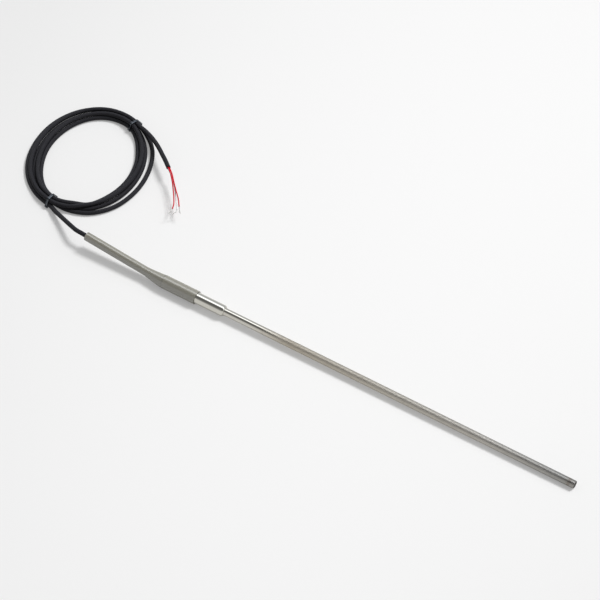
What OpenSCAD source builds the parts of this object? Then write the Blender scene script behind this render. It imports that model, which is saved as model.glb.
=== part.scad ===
// Straight resistance temperature probe: a closed metal sheath with the sensing element at
// its tip, a transition sleeve, a heat-shrink boot and a three-core cable in a tied coil
// with a stripped end. It lies on a floor, +X along the sheath towards the tip, +Z up.
// Origin: centre of the rigid probe's outline (cable left out), at floor level.

/* [Sheath] */
// outside diameter of the closed sheath
sheath_d = 8; // [7:0.5:9]
// length of sheath that stands out of the transition sleeve
sheath_len = 387; // [150:1:600]
// wall of the sheath tube
sheath_wall = 1; // [0.6:0.1:1.2]
// radius of the rounded edge at the tip
tip_round = 1; // [0.4:0.1:1.4]

/* [Sensing element] */
// diameter of the ceramic element
element_d = 3.2; // [2.8:0.1:4]
// length of the ceramic element
element_len = 25; // [10:1:30]

/* [Transition sleeve] */
// outside diameter of the transition sleeve
sleeve_d = 11.8; // [11:0.1:14]
// polished length in front of the boot
sleeve_front = 33; // [20:1:60]
// length held under the boot
sleeve_back = 43; // [40:1:60]
// radius of the rounded edge at the shoulder
shoulder_round = 1.6; // [0.5:0.1:1.8]

/* [Boot] */
// wall of the heat-shrink boot
boot_wall = 1.2; // [0.8:0.1:1.6]
// length of the cone behind the sleeve
boot_cone = 16; // [8:1:30]
// outside diameter of the neck
neck_d = 9.2; // [8.4:0.1:10.4]
// length of the neck
neck_len = 76; // [20:1:120]
// lean of cone and neck off the sheath's line, in degrees
neck_bend = 4.8; // [0:0.1:8]
// direction of the lean: 0 is straight up, 90 is level towards +Y
neck_roll = 24; // [0:1:60]

/* [Cable] */
// outside diameter of the cable
cable_d = 4.7; // [4.4:0.1:5]
// diameter of each insulated core
core_d = 1.6; // [1.4:0.1:1.7]
// diameter of each bare end
strand_d = 0.7; // [0.4:0.1:0.9]

/* [Coil] */
// long half axis of the coil's middle line
coil_a = 68; // [60:1:90]
// short half axis of the coil's middle line
coil_b = 56; // [50:1:80]
// direction of the long axis, in degrees from +X
coil_turn = 103.5; // [60:0.5:150]
// coil centre from the boot's end, along X
coil_x = -62.5; // [-90:0.5:-60]
// coil centre from the boot's end, along Y
coil_y = 94; // [90:0.5:120]

/* [Cable ties] */
// width of the strap
strap_w = 2.5; // [2:0.1:4]
// thickness of the strap
strap_t = 1.1; // [0.8:0.1:1.4]

/* [Hidden] */
$fn = 64;
eps = 0.01;
sheath_r = sheath_d / 2;
bore_r = sheath_r - sheath_wall;
sleeve_r = sleeve_d / 2;
sleeve_len = sleeve_front + sleeve_back;
cavity_r = sleeve_r - 0.9;
insert = 14;
// radius of the sheath's end where it is turned down to press into the sleeve
seat_r = sheath_r - 0.2;
shoulder_r = min(shoulder_round, sleeve_r - sheath_r - 0.1);
boot_r = sleeve_r + boot_wall;
neck_r = neck_d / 2;
cable_r = cable_d / 2;
core_r = core_d / 2;
// inner wires and splices
wire_r = 0.55;
lead_r = 0.25;
entry_r = 0.3;
crimp_r = 0.8;
cover_r = 1;
lane = (cover_r + core_r) / sqrt(3) + 0.01;
lane_y = lane * cos(30);
lane_z = -lane / 2;
// lane centres: first red, second red, white
LANES = [[-lane_y, lane_z], [lane_y, lane_z], [0, lane]];
// splice centres, one behind the other
SPLICE_X = [-21, -33, -45];
flange_t = 1.5;
spigot_len = 4.5;
plug_x = sheath_len - flange_t - spigot_len;
element_x = plug_x - 2;
crimp_x = element_x - element_len - 10;
crimp_len = 6;
fill_x = crimp_x - 10;
jacket_x = -sleeve_len + 8;
core_end_x = jacket_x - 6;

// how the probe lies: on the boot's front edge and on the tip
run_a = sheath_len - tip_round + sleeve_front;
run_b = boot_r - sheath_r + tip_round;
tilt = atan2(run_b, run_a) - asin(tip_round / norm([run_a, run_b]));
lift = boot_r * cos(tilt) - sleeve_front * sin(tilt);
joint = [-sleeve_len, 0, 0];
lean = [-cos(neck_bend), sin(neck_bend) * sin(neck_roll), sin(neck_bend) * cos(neck_roll)];
function tipped(p) = [p.x * cos(tilt) + p.z * sin(tilt), p.y, p.z * cos(tilt) - p.x * sin(tilt)];
end_dir = tipped(lean);
end_raw = tipped(joint + (boot_cone + neck_len) * lean);
x_max = (sheath_len - tip_round) * cos(tilt) + (sheath_r - tip_round) * sin(tilt) + tip_round;
x_min = end_raw.x - neck_r * sqrt(1 - end_dir.x * end_dir.x);
y_max = max(boot_r, end_raw.y + neck_r * sqrt(1 - end_dir.y * end_dir.y));
shift = [-(x_max + x_min) / 2, (boot_r - y_max) / 2, lift];
// where the cable leaves the boot
boot_end = end_raw + shift;

// coil: strand centres as [outward, level], from tie to tie, in pitches at the ties
pitch = cable_d * 1.03;
level = pitch * sqrt(3) / 2;
under = strap_t + 0.1;
coil_c = [boot_end.x + coil_x, boot_end.y + coil_y];
low_tie = 159;
high_tie = -30;
TIE = [[1, 0], [0, 0], [-1, 0], [-0.5, 1], [0.5, 1]];
// strand centres halfway round each side, in cable diameters
SIDE_L = [[1.6, 0], [0, 0], [-1.6, 0], [-0.9, 0.74], [0.87, 0.72]];
SIDE_R = [[1.7, 0], [0.06, 0], [-1.6, 0], [-0.6, 0.8]];
function ease(x) = let (t = min(max(x, 0), 1)) t * t * (3 - 2 * t);
function turn2(p, a) = [p.x * cos(a) - p.y * sin(a), p.x * sin(a) + p.y * cos(a)];
function mid(th) = coil_c + turn2([coil_a * cos(th), coil_b * sin(th)], coil_turn);
function out_dir(th) =
    let (n = [coil_b * cos(th), coil_a * sin(th)])
    turn2(n / norm(n), coil_turn);
function round_dir(th) = let (n = out_dir(th)) [n.y, -n.x];
function station(side, f) =
    side == 0 ? low_tie + (high_tie - low_tie) * f : high_tie + (low_tie - 360 - high_tie) * f;
function loose(side, f) =
    side == 0 ? ease(f / 0.3) * ease((1 - f) / 0.5) : ease(f / 0.22) * ease((0.82 - f) / 0.25);
// the bundle rolls one strand over before it comes back to the lower tie
function rolled(i, f) =
    let (q = ease((f - 0.7) / 0.28),
         a = i == 2 ? 180 - 120 * q : q > 0.5 ? 180 - 120 * q : 120 - 120 * q,
         base = i == 2 || q <= 0.5 ? -q : 1 - q)
    i == 0 ? [1 - q, 0] :
    i == 1 ? [-q, 0] :
    [(base + cos(a)) * pitch, sin(a) * pitch];
function tied(side, i, f) =
    side == 1 && f > 0.7 ?
        (i < 2 ? rolled(i, f) * pitch : rolled(i, f)) :
        [TIE[i][0] * pitch, TIE[i][1] * level];
function strand(side, i, f) =
    let (w = loose(side, f),
         s = (side == 0 ? SIDE_L : SIDE_R)[i] * cable_d,
         t = tied(side, i, f),
         up = under * (1 - ease(min(f, 1 - f) / 0.13)))
    t + (s - t) * w + [0, cable_r + up];
TURNS_L = [0, 0.01, 0.03, 0.05, 0.08, 0.11, 0.15, 0.2, 0.25, 0.3, 0.36, 0.42, 0.48, 0.54, 0.6,
           0.66, 0.72, 0.77, 0.82, 0.86, 0.9, 0.93, 0.96, 0.98, 0.99];
TURNS_R = [0, 0.01, 0.011, 0.03, 0.05, 0.08, 0.11, 0.15, 0.2, 0.26, 0.32, 0.38, 0.44, 0.5,
           0.56, 0.62, 0.67, 0.71, 0.75, 0.78, 0.81, 0.84, 0.87, 0.9, 0.93, 0.96, 0.98, 0.989,
           0.99];
function near_tie(f) = f <= 0.01 || f >= 0.99;
function bundle(side, f) = concat(
    [for (i = [0:3]) strand(side, i, f)],
    side == 0 ? [strand(0, 4, f)] : [],
    side == 1 && f <= 0.01 ? [strand(0, 4, 1)] : [],
    side == 1 && f >= 0.99 ? [strand(0, 0, 0)] : []);
sides = 16;
// outline around the strands: the farthest strand in each direction, plus its radius
function outline(C) = [for (k = [0:sides - 1])
    let (d = [cos(360 * k / sides), sin(360 * k / sides)],
         reach = [for (c = C) c * d],
         far = search(max(reach), reach)[0])
    C[far] + cable_r * d];
function ring(side, f) =
    let (th = station(side, f), m = mid(th), n = out_dir(th))
    [for (q = outline(bundle(side, f))) [m.x + n.x * q.x, m.y + n.y * q.x, q.y]];

// free cable and cores
tie_low = mid(low_tie) + out_dir(low_tie) * pitch;
tie_high = mid(high_tie) + out_dir(high_tie) * pitch / 2;
low_end = [tie_low.x, tie_low.y, cable_r + under];
high_end = [tie_high.x, tie_high.y, cable_r + under + level];
low_way = [round_dir(low_tie).x, round_dir(low_tie).y, 0];
high_way = [round_dir(high_tie).x, round_dir(high_tie).y, 0];
// from the boot to the lower tie: [share of the way, sideways, height]
LEAD = [[0.19, 3.2, 14.8], [0.29, 3, 13.3], [0.4, 2.4, 11.3], [0.52, 1.7, 9.1],
        [0.63, 1, 7.1], [0.74, 0.5, 5.3]];
function lead_point(e) =
    let (a = [boot_end.x, boot_end.y],
         b = [low_end.x, low_end.y],
         s = [a.y - b.y, b.x - a.x] / norm(b - a),
         p = a + (b - a) * e[0] + s * e[1])
    [p.x, p.y, e[2]];
lead_route = concat(
    [boot_end, boot_end + end_dir * 5],
    [for (e = LEAD) lead_point(e)],
    [low_end - low_way * 7, low_end - low_way * 3, low_end]);
// from the upper tie to the end of the jacket, from the strand's place at the tie
TAIL = [[17, -6.5, 9.6], [25.5, -10.5, 11], [34.5, -15.5, 12.2], [43, -21, 13.2],
        [51, -27, 14], [59, -33, 14.6], [64, -37, 14.9]];
tail_route = concat(
    [high_end, high_end + high_way * 3, high_end + high_way * 8 + [0, 0, 0.4]],
    [for (e = TAIL) [high_end.x + e.x, high_end.y + e.y, e.z]],
    [[high_end.x + 68, high_end.y - 40.2, 15]]);
// cores from the end of the jacket: across, along and height
jacket_end = tail_route[len(tail_route) - 1];
jacket_way = unit(jacket_end - tail_route[len(tail_route) - 2]);
CORE_A = [[6.1, -6.2, 15.4], [13.5, -13.6, 14.4], [20.4, -22.2, 13.4], [26.8, -30.9, 12.4],
          [30.5, -37, 11.8], [32.3, -42, 11.4]];
CORE_B = [[5.7, -5, 13.8], [13.4, -12, 12.7], [22.3, -20.1, 12.4], [30.5, -28.3, 12],
          [36.7, -36.2, 11.6]];
CORE_C = [[5, -3.9, 12.3], [12.7, -10.7, 11], [20.6, -19.4, 10.5], [27.5, -28.4, 10.2],
          [32.4, -35, 10], [35.5, -40.4, 9.8]];
function unit(v) = v / norm(v);
function side_of(t) = unit(cross(t, [0, 0, 1]));
function core_start(a, s) =
    let (x = side_of(jacket_way), y = cross(x, jacket_way))
    jacket_end + lane * (x * cos(a) + y * sin(a)) + jacket_way * s;
function core_route(a, C) = concat(
    [core_start(a, 0), core_start(a, 1.5)],
    [for (e = C) [jacket_end.x + e.x, jacket_end.y + e.y, e.z]]);
function bare_route(R, last) =
    let (n = len(R), w = unit(R[n - 1] - R[n - 2]))
    [R[n - 1], R[n - 1] + w * 1.5, [jacket_end.x + last.x, jacket_end.y + last.y, last.z]];
core_a = core_route(60, CORE_A);
core_b = core_route(180, CORE_B);
core_c = core_route(300, CORE_C);

// rod along X from x0 to x1, with its axis at [y, z]
module rod(x0, x1, r, at = [0, 0]) {
    translate([x0, at[0], at[1]])
        rotate([0, 90, 0])
            cylinder(r = r, h = x1 - x0);
}

// the probe as it lies
module laid() {
    translate(shift)
        rotate([0, tilt, 0])
            children();
}

// along the boot's lean, from the back of the sleeve
module leaned() {
    translate(joint)
        rotate([0, acos(lean.z), atan2(lean.y, lean.x)])
            children();
}

// cone and neck behind the sleeve, with r0 at the sleeve and r1 in the neck
module neck_shape(r0, r1, over) {
    back = boot_cone + neck_len + over;
    leaned()
        rotate_extrude()
            polygon([[0, -1.2], [r0, -1.2], [r0, 0], [r1, boot_cone], [r1, back], [0, back]]);
}

// cable from x0 in the sleeve to the boot's end, and over past it; it swells a little where
// it bends at the back of the sleeve
module jacket(x0, over) {
    rod(-sleeve_len, x0, cable_r);
    translate(joint)
        sphere(r = cable_r + 0.15);
    leaned()
        cylinder(r = cable_r, h = boot_cone + neck_len + over);
}

// round tube of radius r that follows the points P
module hose(P, r, n) {
    last = len(P) - 1;
    points = [for (i = [0:last])
        let (t = unit(P[min(i + 1, last)] - P[max(i - 1, 0)]),
             x = side_of(t),
             y = cross(x, t))
        for (k = [0:n - 1]) P[i] + r * (x * cos(360 * k / n) + y * sin(360 * k / n))];
    walls = [for (i = [0:last - 1]) for (k = [0:n - 1])
        let (a = i * n + k, b = i * n + (k + 1) % n)
        each [[a, a + n, b], [b, a + n, b + n]]];
    polyhedron(points = points,
        faces = concat([[for (k = [0:n - 1]) k]], walls, [[for (k = [n - 1:-1:0]) last * n + k]]));
}

// outline around circles of radius r at the corners C
module wrap(C, r) {
    n = len(C);
    polygon(C);
    for (i = [0:n - 1]) {
        a = C[i];
        b = C[(i + 1) % n];
        w = [b.y - a.y, a.x - b.x] / norm(b - a) * r;
        polygon([a, a + w, b + w, b]);
        translate(a)
            circle(r = r);
    }
}

// one cable tie around the bundle at station th: band, head and trimmed end
module tie(th) {
    base = cable_r + under;
    C = [[-pitch, base], [pitch, base], [pitch / 2, base + level], [-pitch / 2, base + level]];
    m = mid(th);
    n = out_dir(th);
    inner = cable_r + 0.1;
    face = [0.75 * pitch, base + level / 2] + [cos(30), sin(30)] * (inner + strap_t);
    translate([m.x, m.y, 0])
        rotate([90, 0, atan2(n.y, n.x)]) {
            linear_extrude(height = strap_w, center = true)
                difference() {
                    wrap(C, inner + strap_t);
                    wrap(C, inner);
                }
            translate([face.x, face.y, -2.2])
                rotate([0, 0, 30])
                    translate([-0.5, -2.4, 0]) {
                        cube([2.7, 3.6, 4.4]);
                        translate([0.7, 0, 1.1])
                            cube([1.1, 5.6, 2.2]);
                    }
        }
}

module sheath_tube() {
    color([0.72, 0.73, 0.75])
        laid()
            difference() {
                union() {
                    rod(0, sheath_len - flange_t, sheath_r);
                    rod(-insert, eps, seat_r);
                }
                rod(-insert - 1, sheath_len, bore_r);
            }
}

module end_plug() {
    color([0.66, 0.66, 0.68])
        laid() {
            rod(plug_x, sheath_len - flange_t + eps, bore_r);
            translate([sheath_len - flange_t, 0, 0])
                rotate([0, 90, 0])
                    rotate_extrude() {
                        square([sheath_r - tip_round, flange_t]);
                        square([sheath_r, flange_t - tip_round]);
                        intersection() {
                            translate([sheath_r - tip_round, flange_t - tip_round])
                                circle(r = tip_round);
                            square([sheath_r, flange_t]);
                        }
                    }
        }
}

module rtd_element() {
    color([0.93, 0.92, 0.88])
        laid()
            difference() {
                rod(element_x - element_len, element_x, element_d / 2);
                rod(element_x - element_len - 1, element_x - element_len + 4, lead_r, [0, lane_z]);
                rod(element_x - element_len - 1, element_x - element_len + 4, lead_r, [0, lane]);
            }
}

module element_lead_red() {
    color([0.85, 0.84, 0.8])
        laid()
            rod(crimp_x, element_x - element_len + 4, lead_r, [0, lane_z]);
}

module element_lead_white() {
    color([0.85, 0.84, 0.8])
        laid()
            rod(crimp_x + crimp_len / 2, element_x - element_len + 4, lead_r, [0, lane]);
}

module lead_crimp_red() {
    color([0.8, 0.78, 0.72])
        laid()
            difference() {
                union() {
                    rod(crimp_x, crimp_x + crimp_len, 0.55, [-lane_y, lane_z]);
                    rod(crimp_x, crimp_x + crimp_len, 0.55, [lane_y, lane_z]);
                    translate([crimp_x, -lane_y, lane_z - 0.55])
                        cube([crimp_len, 2 * lane_y, 1.1]);
                }
                for (y = [-lane_y, 0, lane_y])
                    rod(crimp_x - 1, crimp_x + crimp_len + 1, lead_r, [y, lane_z]);
            }
}

module lead_crimp_white() {
    color([0.8, 0.78, 0.72])
        laid()
            difference() {
                rod(crimp_x, crimp_x + crimp_len, 0.55, LANES[2]);
                rod(crimp_x - 1, crimp_x + crimp_len + 1, lead_r, LANES[2]);
            }
}

module thermal_fill() {
    color([0.9, 0.89, 0.86])
        laid()
            difference() {
                rod(fill_x, plug_x, bore_r);
                rod(element_x - element_len, element_x, element_d / 2);
                rod(crimp_x, element_x, lead_r, [0, lane_z]);
                rod(crimp_x, element_x, lead_r, [0, lane]);
                for (y = [-lane_y, lane_y])
                    rod(crimp_x, crimp_x + crimp_len, 0.55, [y, lane_z]);
                translate([crimp_x, -lane_y, lane_z - 0.55])
                    cube([crimp_len, 2 * lane_y, 1.1]);
                rod(crimp_x, crimp_x + crimp_len, 0.55, LANES[2]);
                for (p = LANES) {
                    rod(fill_x - 1, crimp_x + 1, lead_r, p);
                    rod(fill_x - 1, crimp_x - 2, wire_r, p);
                }
            }
}

// insulation of one wire inside the sheath, from its splice to the thermal fill
module inner_wire(i) {
    difference() {
        rod(SPLICE_X[i] + 4, crimp_x - 2, wire_r, LANES[i]);
        rod(SPLICE_X[i] + 3, crimp_x - 1, lead_r, LANES[i]);
    }
}

module inner_wire_red_1() {
    color([0.8, 0.1, 0.1])
        laid()
            inner_wire(0);
}

module inner_wire_red_2() {
    color([0.8, 0.1, 0.1])
        laid()
            inner_wire(1);
}

module inner_wire_white() {
    color([0.92, 0.92, 0.92])
        laid()
            inner_wire(2);
}

module inner_conductor_red_1() {
    color([0.8, 0.8, 0.78])
        laid()
            rod(SPLICE_X[0], crimp_x + crimp_len, lead_r, LANES[0]);
}

module inner_conductor_red_2() {
    color([0.8, 0.8, 0.78])
        laid()
            rod(SPLICE_X[1], crimp_x + crimp_len, lead_r, LANES[1]);
}

module inner_conductor_white() {
    color([0.8, 0.8, 0.78])
        laid()
            rod(SPLICE_X[2], crimp_x + crimp_len / 2, lead_r, LANES[2]);
}

// crimp that joins an inner wire to a cable core
module splice_crimp(i) {
    x = SPLICE_X[i];
    difference() {
        rod(x - 4, x + 4, crimp_r, LANES[i]);
        rod(x, x + 5, lead_r, LANES[i]);
        rod(x - 5, x, entry_r, LANES[i]);
    }
}

module splice_crimp_red_1() {
    color([0.75, 0.76, 0.78])
        laid()
            splice_crimp(0);
}

module splice_crimp_red_2() {
    color([0.75, 0.76, 0.78])
        laid()
            splice_crimp(1);
}

module splice_crimp_white() {
    color([0.75, 0.76, 0.78])
        laid()
            splice_crimp(2);
}

// sleeve over a splice
module splice_cover(i) {
    x = SPLICE_X[i];
    difference() {
        rod(x - 6, x + 6, cover_r, LANES[i]);
        rod(x - 7, x - 4, core_r, LANES[i]);
        rod(x - 5, x + 4, crimp_r, LANES[i]);
        rod(x + 3, x + 7, wire_r, LANES[i]);
    }
}

module splice_cover_red_1() {
    color([0.15, 0.15, 0.16])
        laid()
            splice_cover(0);
}

module splice_cover_red_2() {
    color([0.15, 0.15, 0.16])
        laid()
            splice_cover(1);
}

module splice_cover_white() {
    color([0.15, 0.15, 0.16])
        laid()
            splice_cover(2);
}

// insulation of one cable core between its splice and the jacket
module entry_core(i) {
    difference() {
        rod(core_end_x, SPLICE_X[i] - 4, core_r, LANES[i]);
        rod(core_end_x - 1, SPLICE_X[i], entry_r, LANES[i]);
    }
}

module entry_core_red_1() {
    color([0.8, 0.1, 0.1])
        laid()
            entry_core(0);
}

module entry_core_red_2() {
    color([0.8, 0.1, 0.1])
        laid()
            entry_core(1);
}

module entry_core_white() {
    color([0.92, 0.92, 0.92])
        laid()
            entry_core(2);
}

module entry_conductor_red_1() {
    color([0.8, 0.8, 0.78])
        laid()
            rod(core_end_x, SPLICE_X[0], entry_r, LANES[0]);
}

module entry_conductor_red_2() {
    color([0.8, 0.8, 0.78])
        laid()
            rod(core_end_x, SPLICE_X[1], entry_r, LANES[1]);
}

module entry_conductor_white() {
    color([0.8, 0.8, 0.78])
        laid()
            rod(core_end_x, SPLICE_X[2], entry_r, LANES[2]);
}

module transition_sleeve() {
    color([0.8, 0.81, 0.83])
        laid()
            translate([-sleeve_len, 0, 0])
                rotate([0, 90, 0])
                    rotate_extrude()
                        difference() {
                            union() {
                                square([sleeve_r, sleeve_len - shoulder_r]);
                                square([sleeve_r - shoulder_r, sleeve_len]);
                                translate([sleeve_r - shoulder_r, sleeve_len - shoulder_r])
                                    circle(r = shoulder_r);
                            }
                            square([seat_r, sleeve_len]);
                            square([cavity_r, sleeve_len - insert]);
                        }
}

module potting() {
    color([0.25, 0.22, 0.2])
        laid()
            difference() {
                rod(-sleeve_len, -insert, cavity_r);
                for (i = [0:2]) {
                    rod(SPLICE_X[i], -insert + 1, wire_r, LANES[i]);
                    rod(SPLICE_X[i] - 6, SPLICE_X[i] + 6, cover_r, LANES[i]);
                    rod(-sleeve_len - 1, SPLICE_X[i], core_r, LANES[i]);
                }
                jacket(jacket_x, 0);
            }
}

// jacketed cable inside the sleeve and the boot
module cable_entry() {
    color([0.1, 0.1, 0.11])
        laid()
            difference() {
                jacket(jacket_x, 0);
                for (p = LANES)
                    rod(core_end_x, jacket_x + 1, core_r, p);
            }
}

// hot-melt lining of the boot behind the sleeve
module adhesive_liner() {
    color([0.3, 0.28, 0.25])
        laid()
            difference() {
                neck_shape(sleeve_r - 0.5, neck_r - boot_wall, -0.8);
                rod(-sleeve_len, -sleeve_len + 10, sleeve_r + 1);
                jacket(-sleeve_len + 5, 1);
            }
}

module heat_shrink_boot() {
    color([0.42, 0.42, 0.43])
        laid()
            difference() {
                union() {
                    rod(-sleeve_len - 1, -sleeve_front, boot_r);
                    neck_shape(boot_r - 0.5, neck_r, 0);
                }
                rod(-sleeve_len, -sleeve_front + 1, sleeve_r);
                neck_shape(sleeve_r - 0.5, neck_r - boot_wall, 1);
            }
}

module cable_lead() {
    color([0.1, 0.1, 0.11])
        hose(lead_route, cable_r, 12);
}

module cable_coil() {
    rings = concat([for (f = TURNS_L) ring(0, f)], [for (f = TURNS_R) ring(1, f)]);
    n = len(rings);
    color([0.1, 0.1, 0.11])
        polyhedron(
            points = [for (r = rings) each r],
            faces = [for (i = [0:n - 1]) for (k = [0:sides - 1])
                let (j = (i + 1) % n,
                     l = (k + 1) % sides,
                     a = i * sides + k,
                     b = i * sides + l,
                     c = j * sides + k,
                     d = j * sides + l)
                each [[a, b, c], [b, d, c]]]);
}

module cable_tail() {
    color([0.1, 0.1, 0.11])
        hose(tail_route, cable_r, 12);
}

module cable_tie_lower() {
    color([0.14, 0.15, 0.17])
        tie(low_tie);
}

module cable_tie_upper() {
    color([0.14, 0.15, 0.17])
        tie(high_tie);
}

module core_red_left() {
    color([0.8, 0.05, 0.1])
        hose(core_a, core_r, 8);
}

module core_red_right() {
    color([0.8, 0.05, 0.1])
        hose(core_b, core_r, 8);
}

module core_white() {
    color([0.92, 0.92, 0.92])
        hose(core_c, core_r, 8);
}

module strands_red_left() {
    color([0.8, 0.8, 0.78])
        hose(bare_route(core_a, [31.9, -49.7, 11]), strand_d / 2, 8);
}

module strands_red_right() {
    color([0.8, 0.8, 0.78])
        hose(bare_route(core_b, [41.8, -42.9, 11.2]), strand_d / 2, 8);
}

module strands_white() {
    color([0.8, 0.8, 0.78])
        hose(bare_route(core_c, [34.7, -46.9, 9.6]), strand_d / 2, 8);
}

sheath_tube();
end_plug();
rtd_element();
element_lead_red();
element_lead_white();
lead_crimp_red();
lead_crimp_white();
thermal_fill();
inner_wire_red_1();
inner_wire_red_2();
inner_wire_white();
inner_conductor_red_1();
inner_conductor_red_2();
inner_conductor_white();
splice_crimp_red_1();
splice_crimp_red_2();
splice_crimp_white();
splice_cover_red_1();
splice_cover_red_2();
splice_cover_white();
entry_core_red_1();
entry_core_red_2();
entry_core_white();
entry_conductor_red_1();
entry_conductor_red_2();
entry_conductor_white();
transition_sleeve();
potting();
cable_entry();
adhesive_liner();
heat_shrink_boot();
cable_lead();
cable_coil();
cable_tail();
cable_tie_lower();
cable_tie_upper();
core_red_left();
core_red_right();
core_white();
strands_red_left();
strands_red_right();
strands_white();
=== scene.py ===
"""Straight sheathed resistance thermometer on a studio floor: steel sheath, polished
transition sleeve, shrink boot, tied coil of cable and three stripped cores."""

import math
from functools import cached_property

import bmesh
import bpy
from bpy.props import FloatProperty, FloatVectorProperty, IntProperty, PointerProperty
from mathutils import Matrix, Vector


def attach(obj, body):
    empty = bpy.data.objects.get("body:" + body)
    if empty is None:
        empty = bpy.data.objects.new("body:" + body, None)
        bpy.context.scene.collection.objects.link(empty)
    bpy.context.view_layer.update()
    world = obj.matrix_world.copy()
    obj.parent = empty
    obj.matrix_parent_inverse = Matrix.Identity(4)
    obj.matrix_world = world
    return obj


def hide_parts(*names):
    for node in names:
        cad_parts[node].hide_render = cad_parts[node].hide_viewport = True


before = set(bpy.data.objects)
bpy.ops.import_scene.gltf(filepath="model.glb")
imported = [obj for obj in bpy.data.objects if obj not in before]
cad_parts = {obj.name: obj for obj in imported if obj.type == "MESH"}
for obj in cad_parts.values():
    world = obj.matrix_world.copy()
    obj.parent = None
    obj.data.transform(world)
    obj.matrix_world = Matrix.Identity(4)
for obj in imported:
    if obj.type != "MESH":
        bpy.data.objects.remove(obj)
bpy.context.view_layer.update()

bl_info = {
    "name": "Sheathed resistance thermometer",
    "version": (1, 0, 0),
    "blender": (4, 5, 0),
    "location": "View3D > Sidebar > Thermometer",
    "description": "Builds a sheathed temperature probe with its shrink boot, tied cable and stripped cores",
    "category": "Object",
}

MM = 0.001
UP = Vector((0, 0, 1))
GOLDEN_ANGLE = 2.39996
# points round each kind of tube
TURNED_SIDES, BOOT_SIDES, CABLE_SIDES, CORE_SIDES = 96, 64, 20, 14
# distances between the points of the routes
CABLE_STEP, CORE_STEP, STRAND_STEP = 2.5 * MM, 0.8 * MM, 0.7 * MM


# ---------------------------------------------------------------- settings


def length(name, description, default):
    """A size in metres."""
    return FloatProperty(
        name=name, description=description, default=default, unit="LENGTH", precision=5)


def angle(name, description, degrees):
    """An angle, kept in radians and shown in degrees."""
    return FloatProperty(
        name=name, description=description, default=math.radians(degrees), unit="ROTATION")


def colour(name, description, default):
    """A linear colour."""
    return FloatVectorProperty(
        name=name, description=description, default=default, subtype="COLOR", min=0, max=1)


def point(name, description, default):
    """A place in metres."""
    return FloatVectorProperty(
        name=name, description=description, default=default, subtype="TRANSLATION")


def light(name, description, default):
    """A strength."""
    return FloatProperty(name=name, description=description, default=default, min=0)


class ProbeSettings(bpy.types.PropertyGroup):
    """Sizes of the rigid probe."""

    sheath_diameter: length("Sheath diameter", "Outside diameter of the closed sheath", 0.008)
    sheath_length: length("Sheath length", "Length of sheath outside the sleeve", 0.387)
    sheath_wall: length("Sheath wall", "Wall of the sheath tube", 0.001)
    tip_round: length("Tip rounding", "Radius of the rounded edge at the tip", 0.001)
    seat_depth: length("Seat depth", "How far the sheath runs into the sleeve", 0.014)
    sleeve_diameter: length("Sleeve diameter", "Outside diameter of the transition sleeve", 0.0118)
    sleeve_front: length("Sleeve front", "Polished length in front of the boot", 0.033)
    sleeve_back: length("Sleeve back", "Length of sleeve under the boot", 0.043)
    shoulder_round: length("Shoulder rounding", "Length of the sleeve's rounded shoulder", 0.0028)
    boot_wall: length("Boot wall", "Wall of the shrink boot", 0.0012)
    boot_cone: length("Cone length", "Length of the cone behind the sleeve", 0.016)
    fold_place: length("Fold place", "Distance of the boot's fold behind its front edge", 0.039)
    fold_cone: length("Fold cone", "Length of the boot's slope behind its fold", 0.022)
    neck_diameter: length("Neck diameter", "Outside diameter of the boot's neck", 0.0092)
    neck_length: length("Neck length", "Length of the boot's neck", 0.076)
    neck_bend: angle("Neck bend", "Lean of the neck off the sheath's line", 4.8)
    neck_roll: angle("Neck roll", "Direction of the lean, 0 is straight up", 24)


class CableSettings(bpy.types.PropertyGroup):
    """Sizes of the cable, its coil, its cores and its ties."""

    cable_diameter: length("Cable diameter", "Outside diameter of the cable", 0.0047)
    core_diameter: length("Core diameter", "Outside diameter of one insulated core", 0.0013)
    strand_diameter: length("Bare end diameter", "Diameter of the bundle of bare strands", 0.0007)
    strands: IntProperty(
        name="Strands", description="Fine strands in one bare end", default=12, min=3, max=24)
    coil_long: length("Coil long half axis", "Long half axis of the coil's middle line", 0.068)
    coil_short: length("Coil short half axis", "Short half axis of the coil's middle line", 0.056)
    coil_turn: angle("Coil turn", "Direction of the coil's long axis from +X", 103.5)
    coil_x: length("Coil X", "Coil centre from the boot's end, along X", -0.0625)
    coil_y: length("Coil Y", "Coil centre from the boot's end, along Y", 0.094)
    lay: length("Lay", "Length of one twist of the cores under the jacket", 0.046)
    strap_width: length("Strap width", "Width of the cable ties", 0.0025)
    strap_thickness: length("Strap thickness", "Thickness of the cable ties", 0.0011)
    tooth_spacing: length("Tooth spacing", "Distance between the teeth in the strap's channel", 0.00085)


class FinishSettings(bpy.types.PropertyGroup):
    """Colours of the finishes."""

    sheath: colour("Sheath steel", "Ground stainless steel", (0.55, 0.53, 0.48))
    sleeve: colour("Sleeve steel", "Mirror polished stainless steel", (0.57, 0.555, 0.505))
    boot: colour("Boot", "Grey shrink tube", (0.238, 0.228, 0.187))
    jacket: colour("Jacket", "Black cable jacket", (0.0195, 0.0193, 0.0225))
    red: colour("Red core", "Red core insulation", (0.62, 0.002, 0.018))
    white: colour("White core", "White core insulation", (0.84, 0.84, 0.86))
    conductor: colour("Conductor", "Tinned copper strands", (0.6, 0.59, 0.56))
    tie: colour("Cable tie", "Black nylon", (0.008, 0.0092, 0.012))


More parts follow.
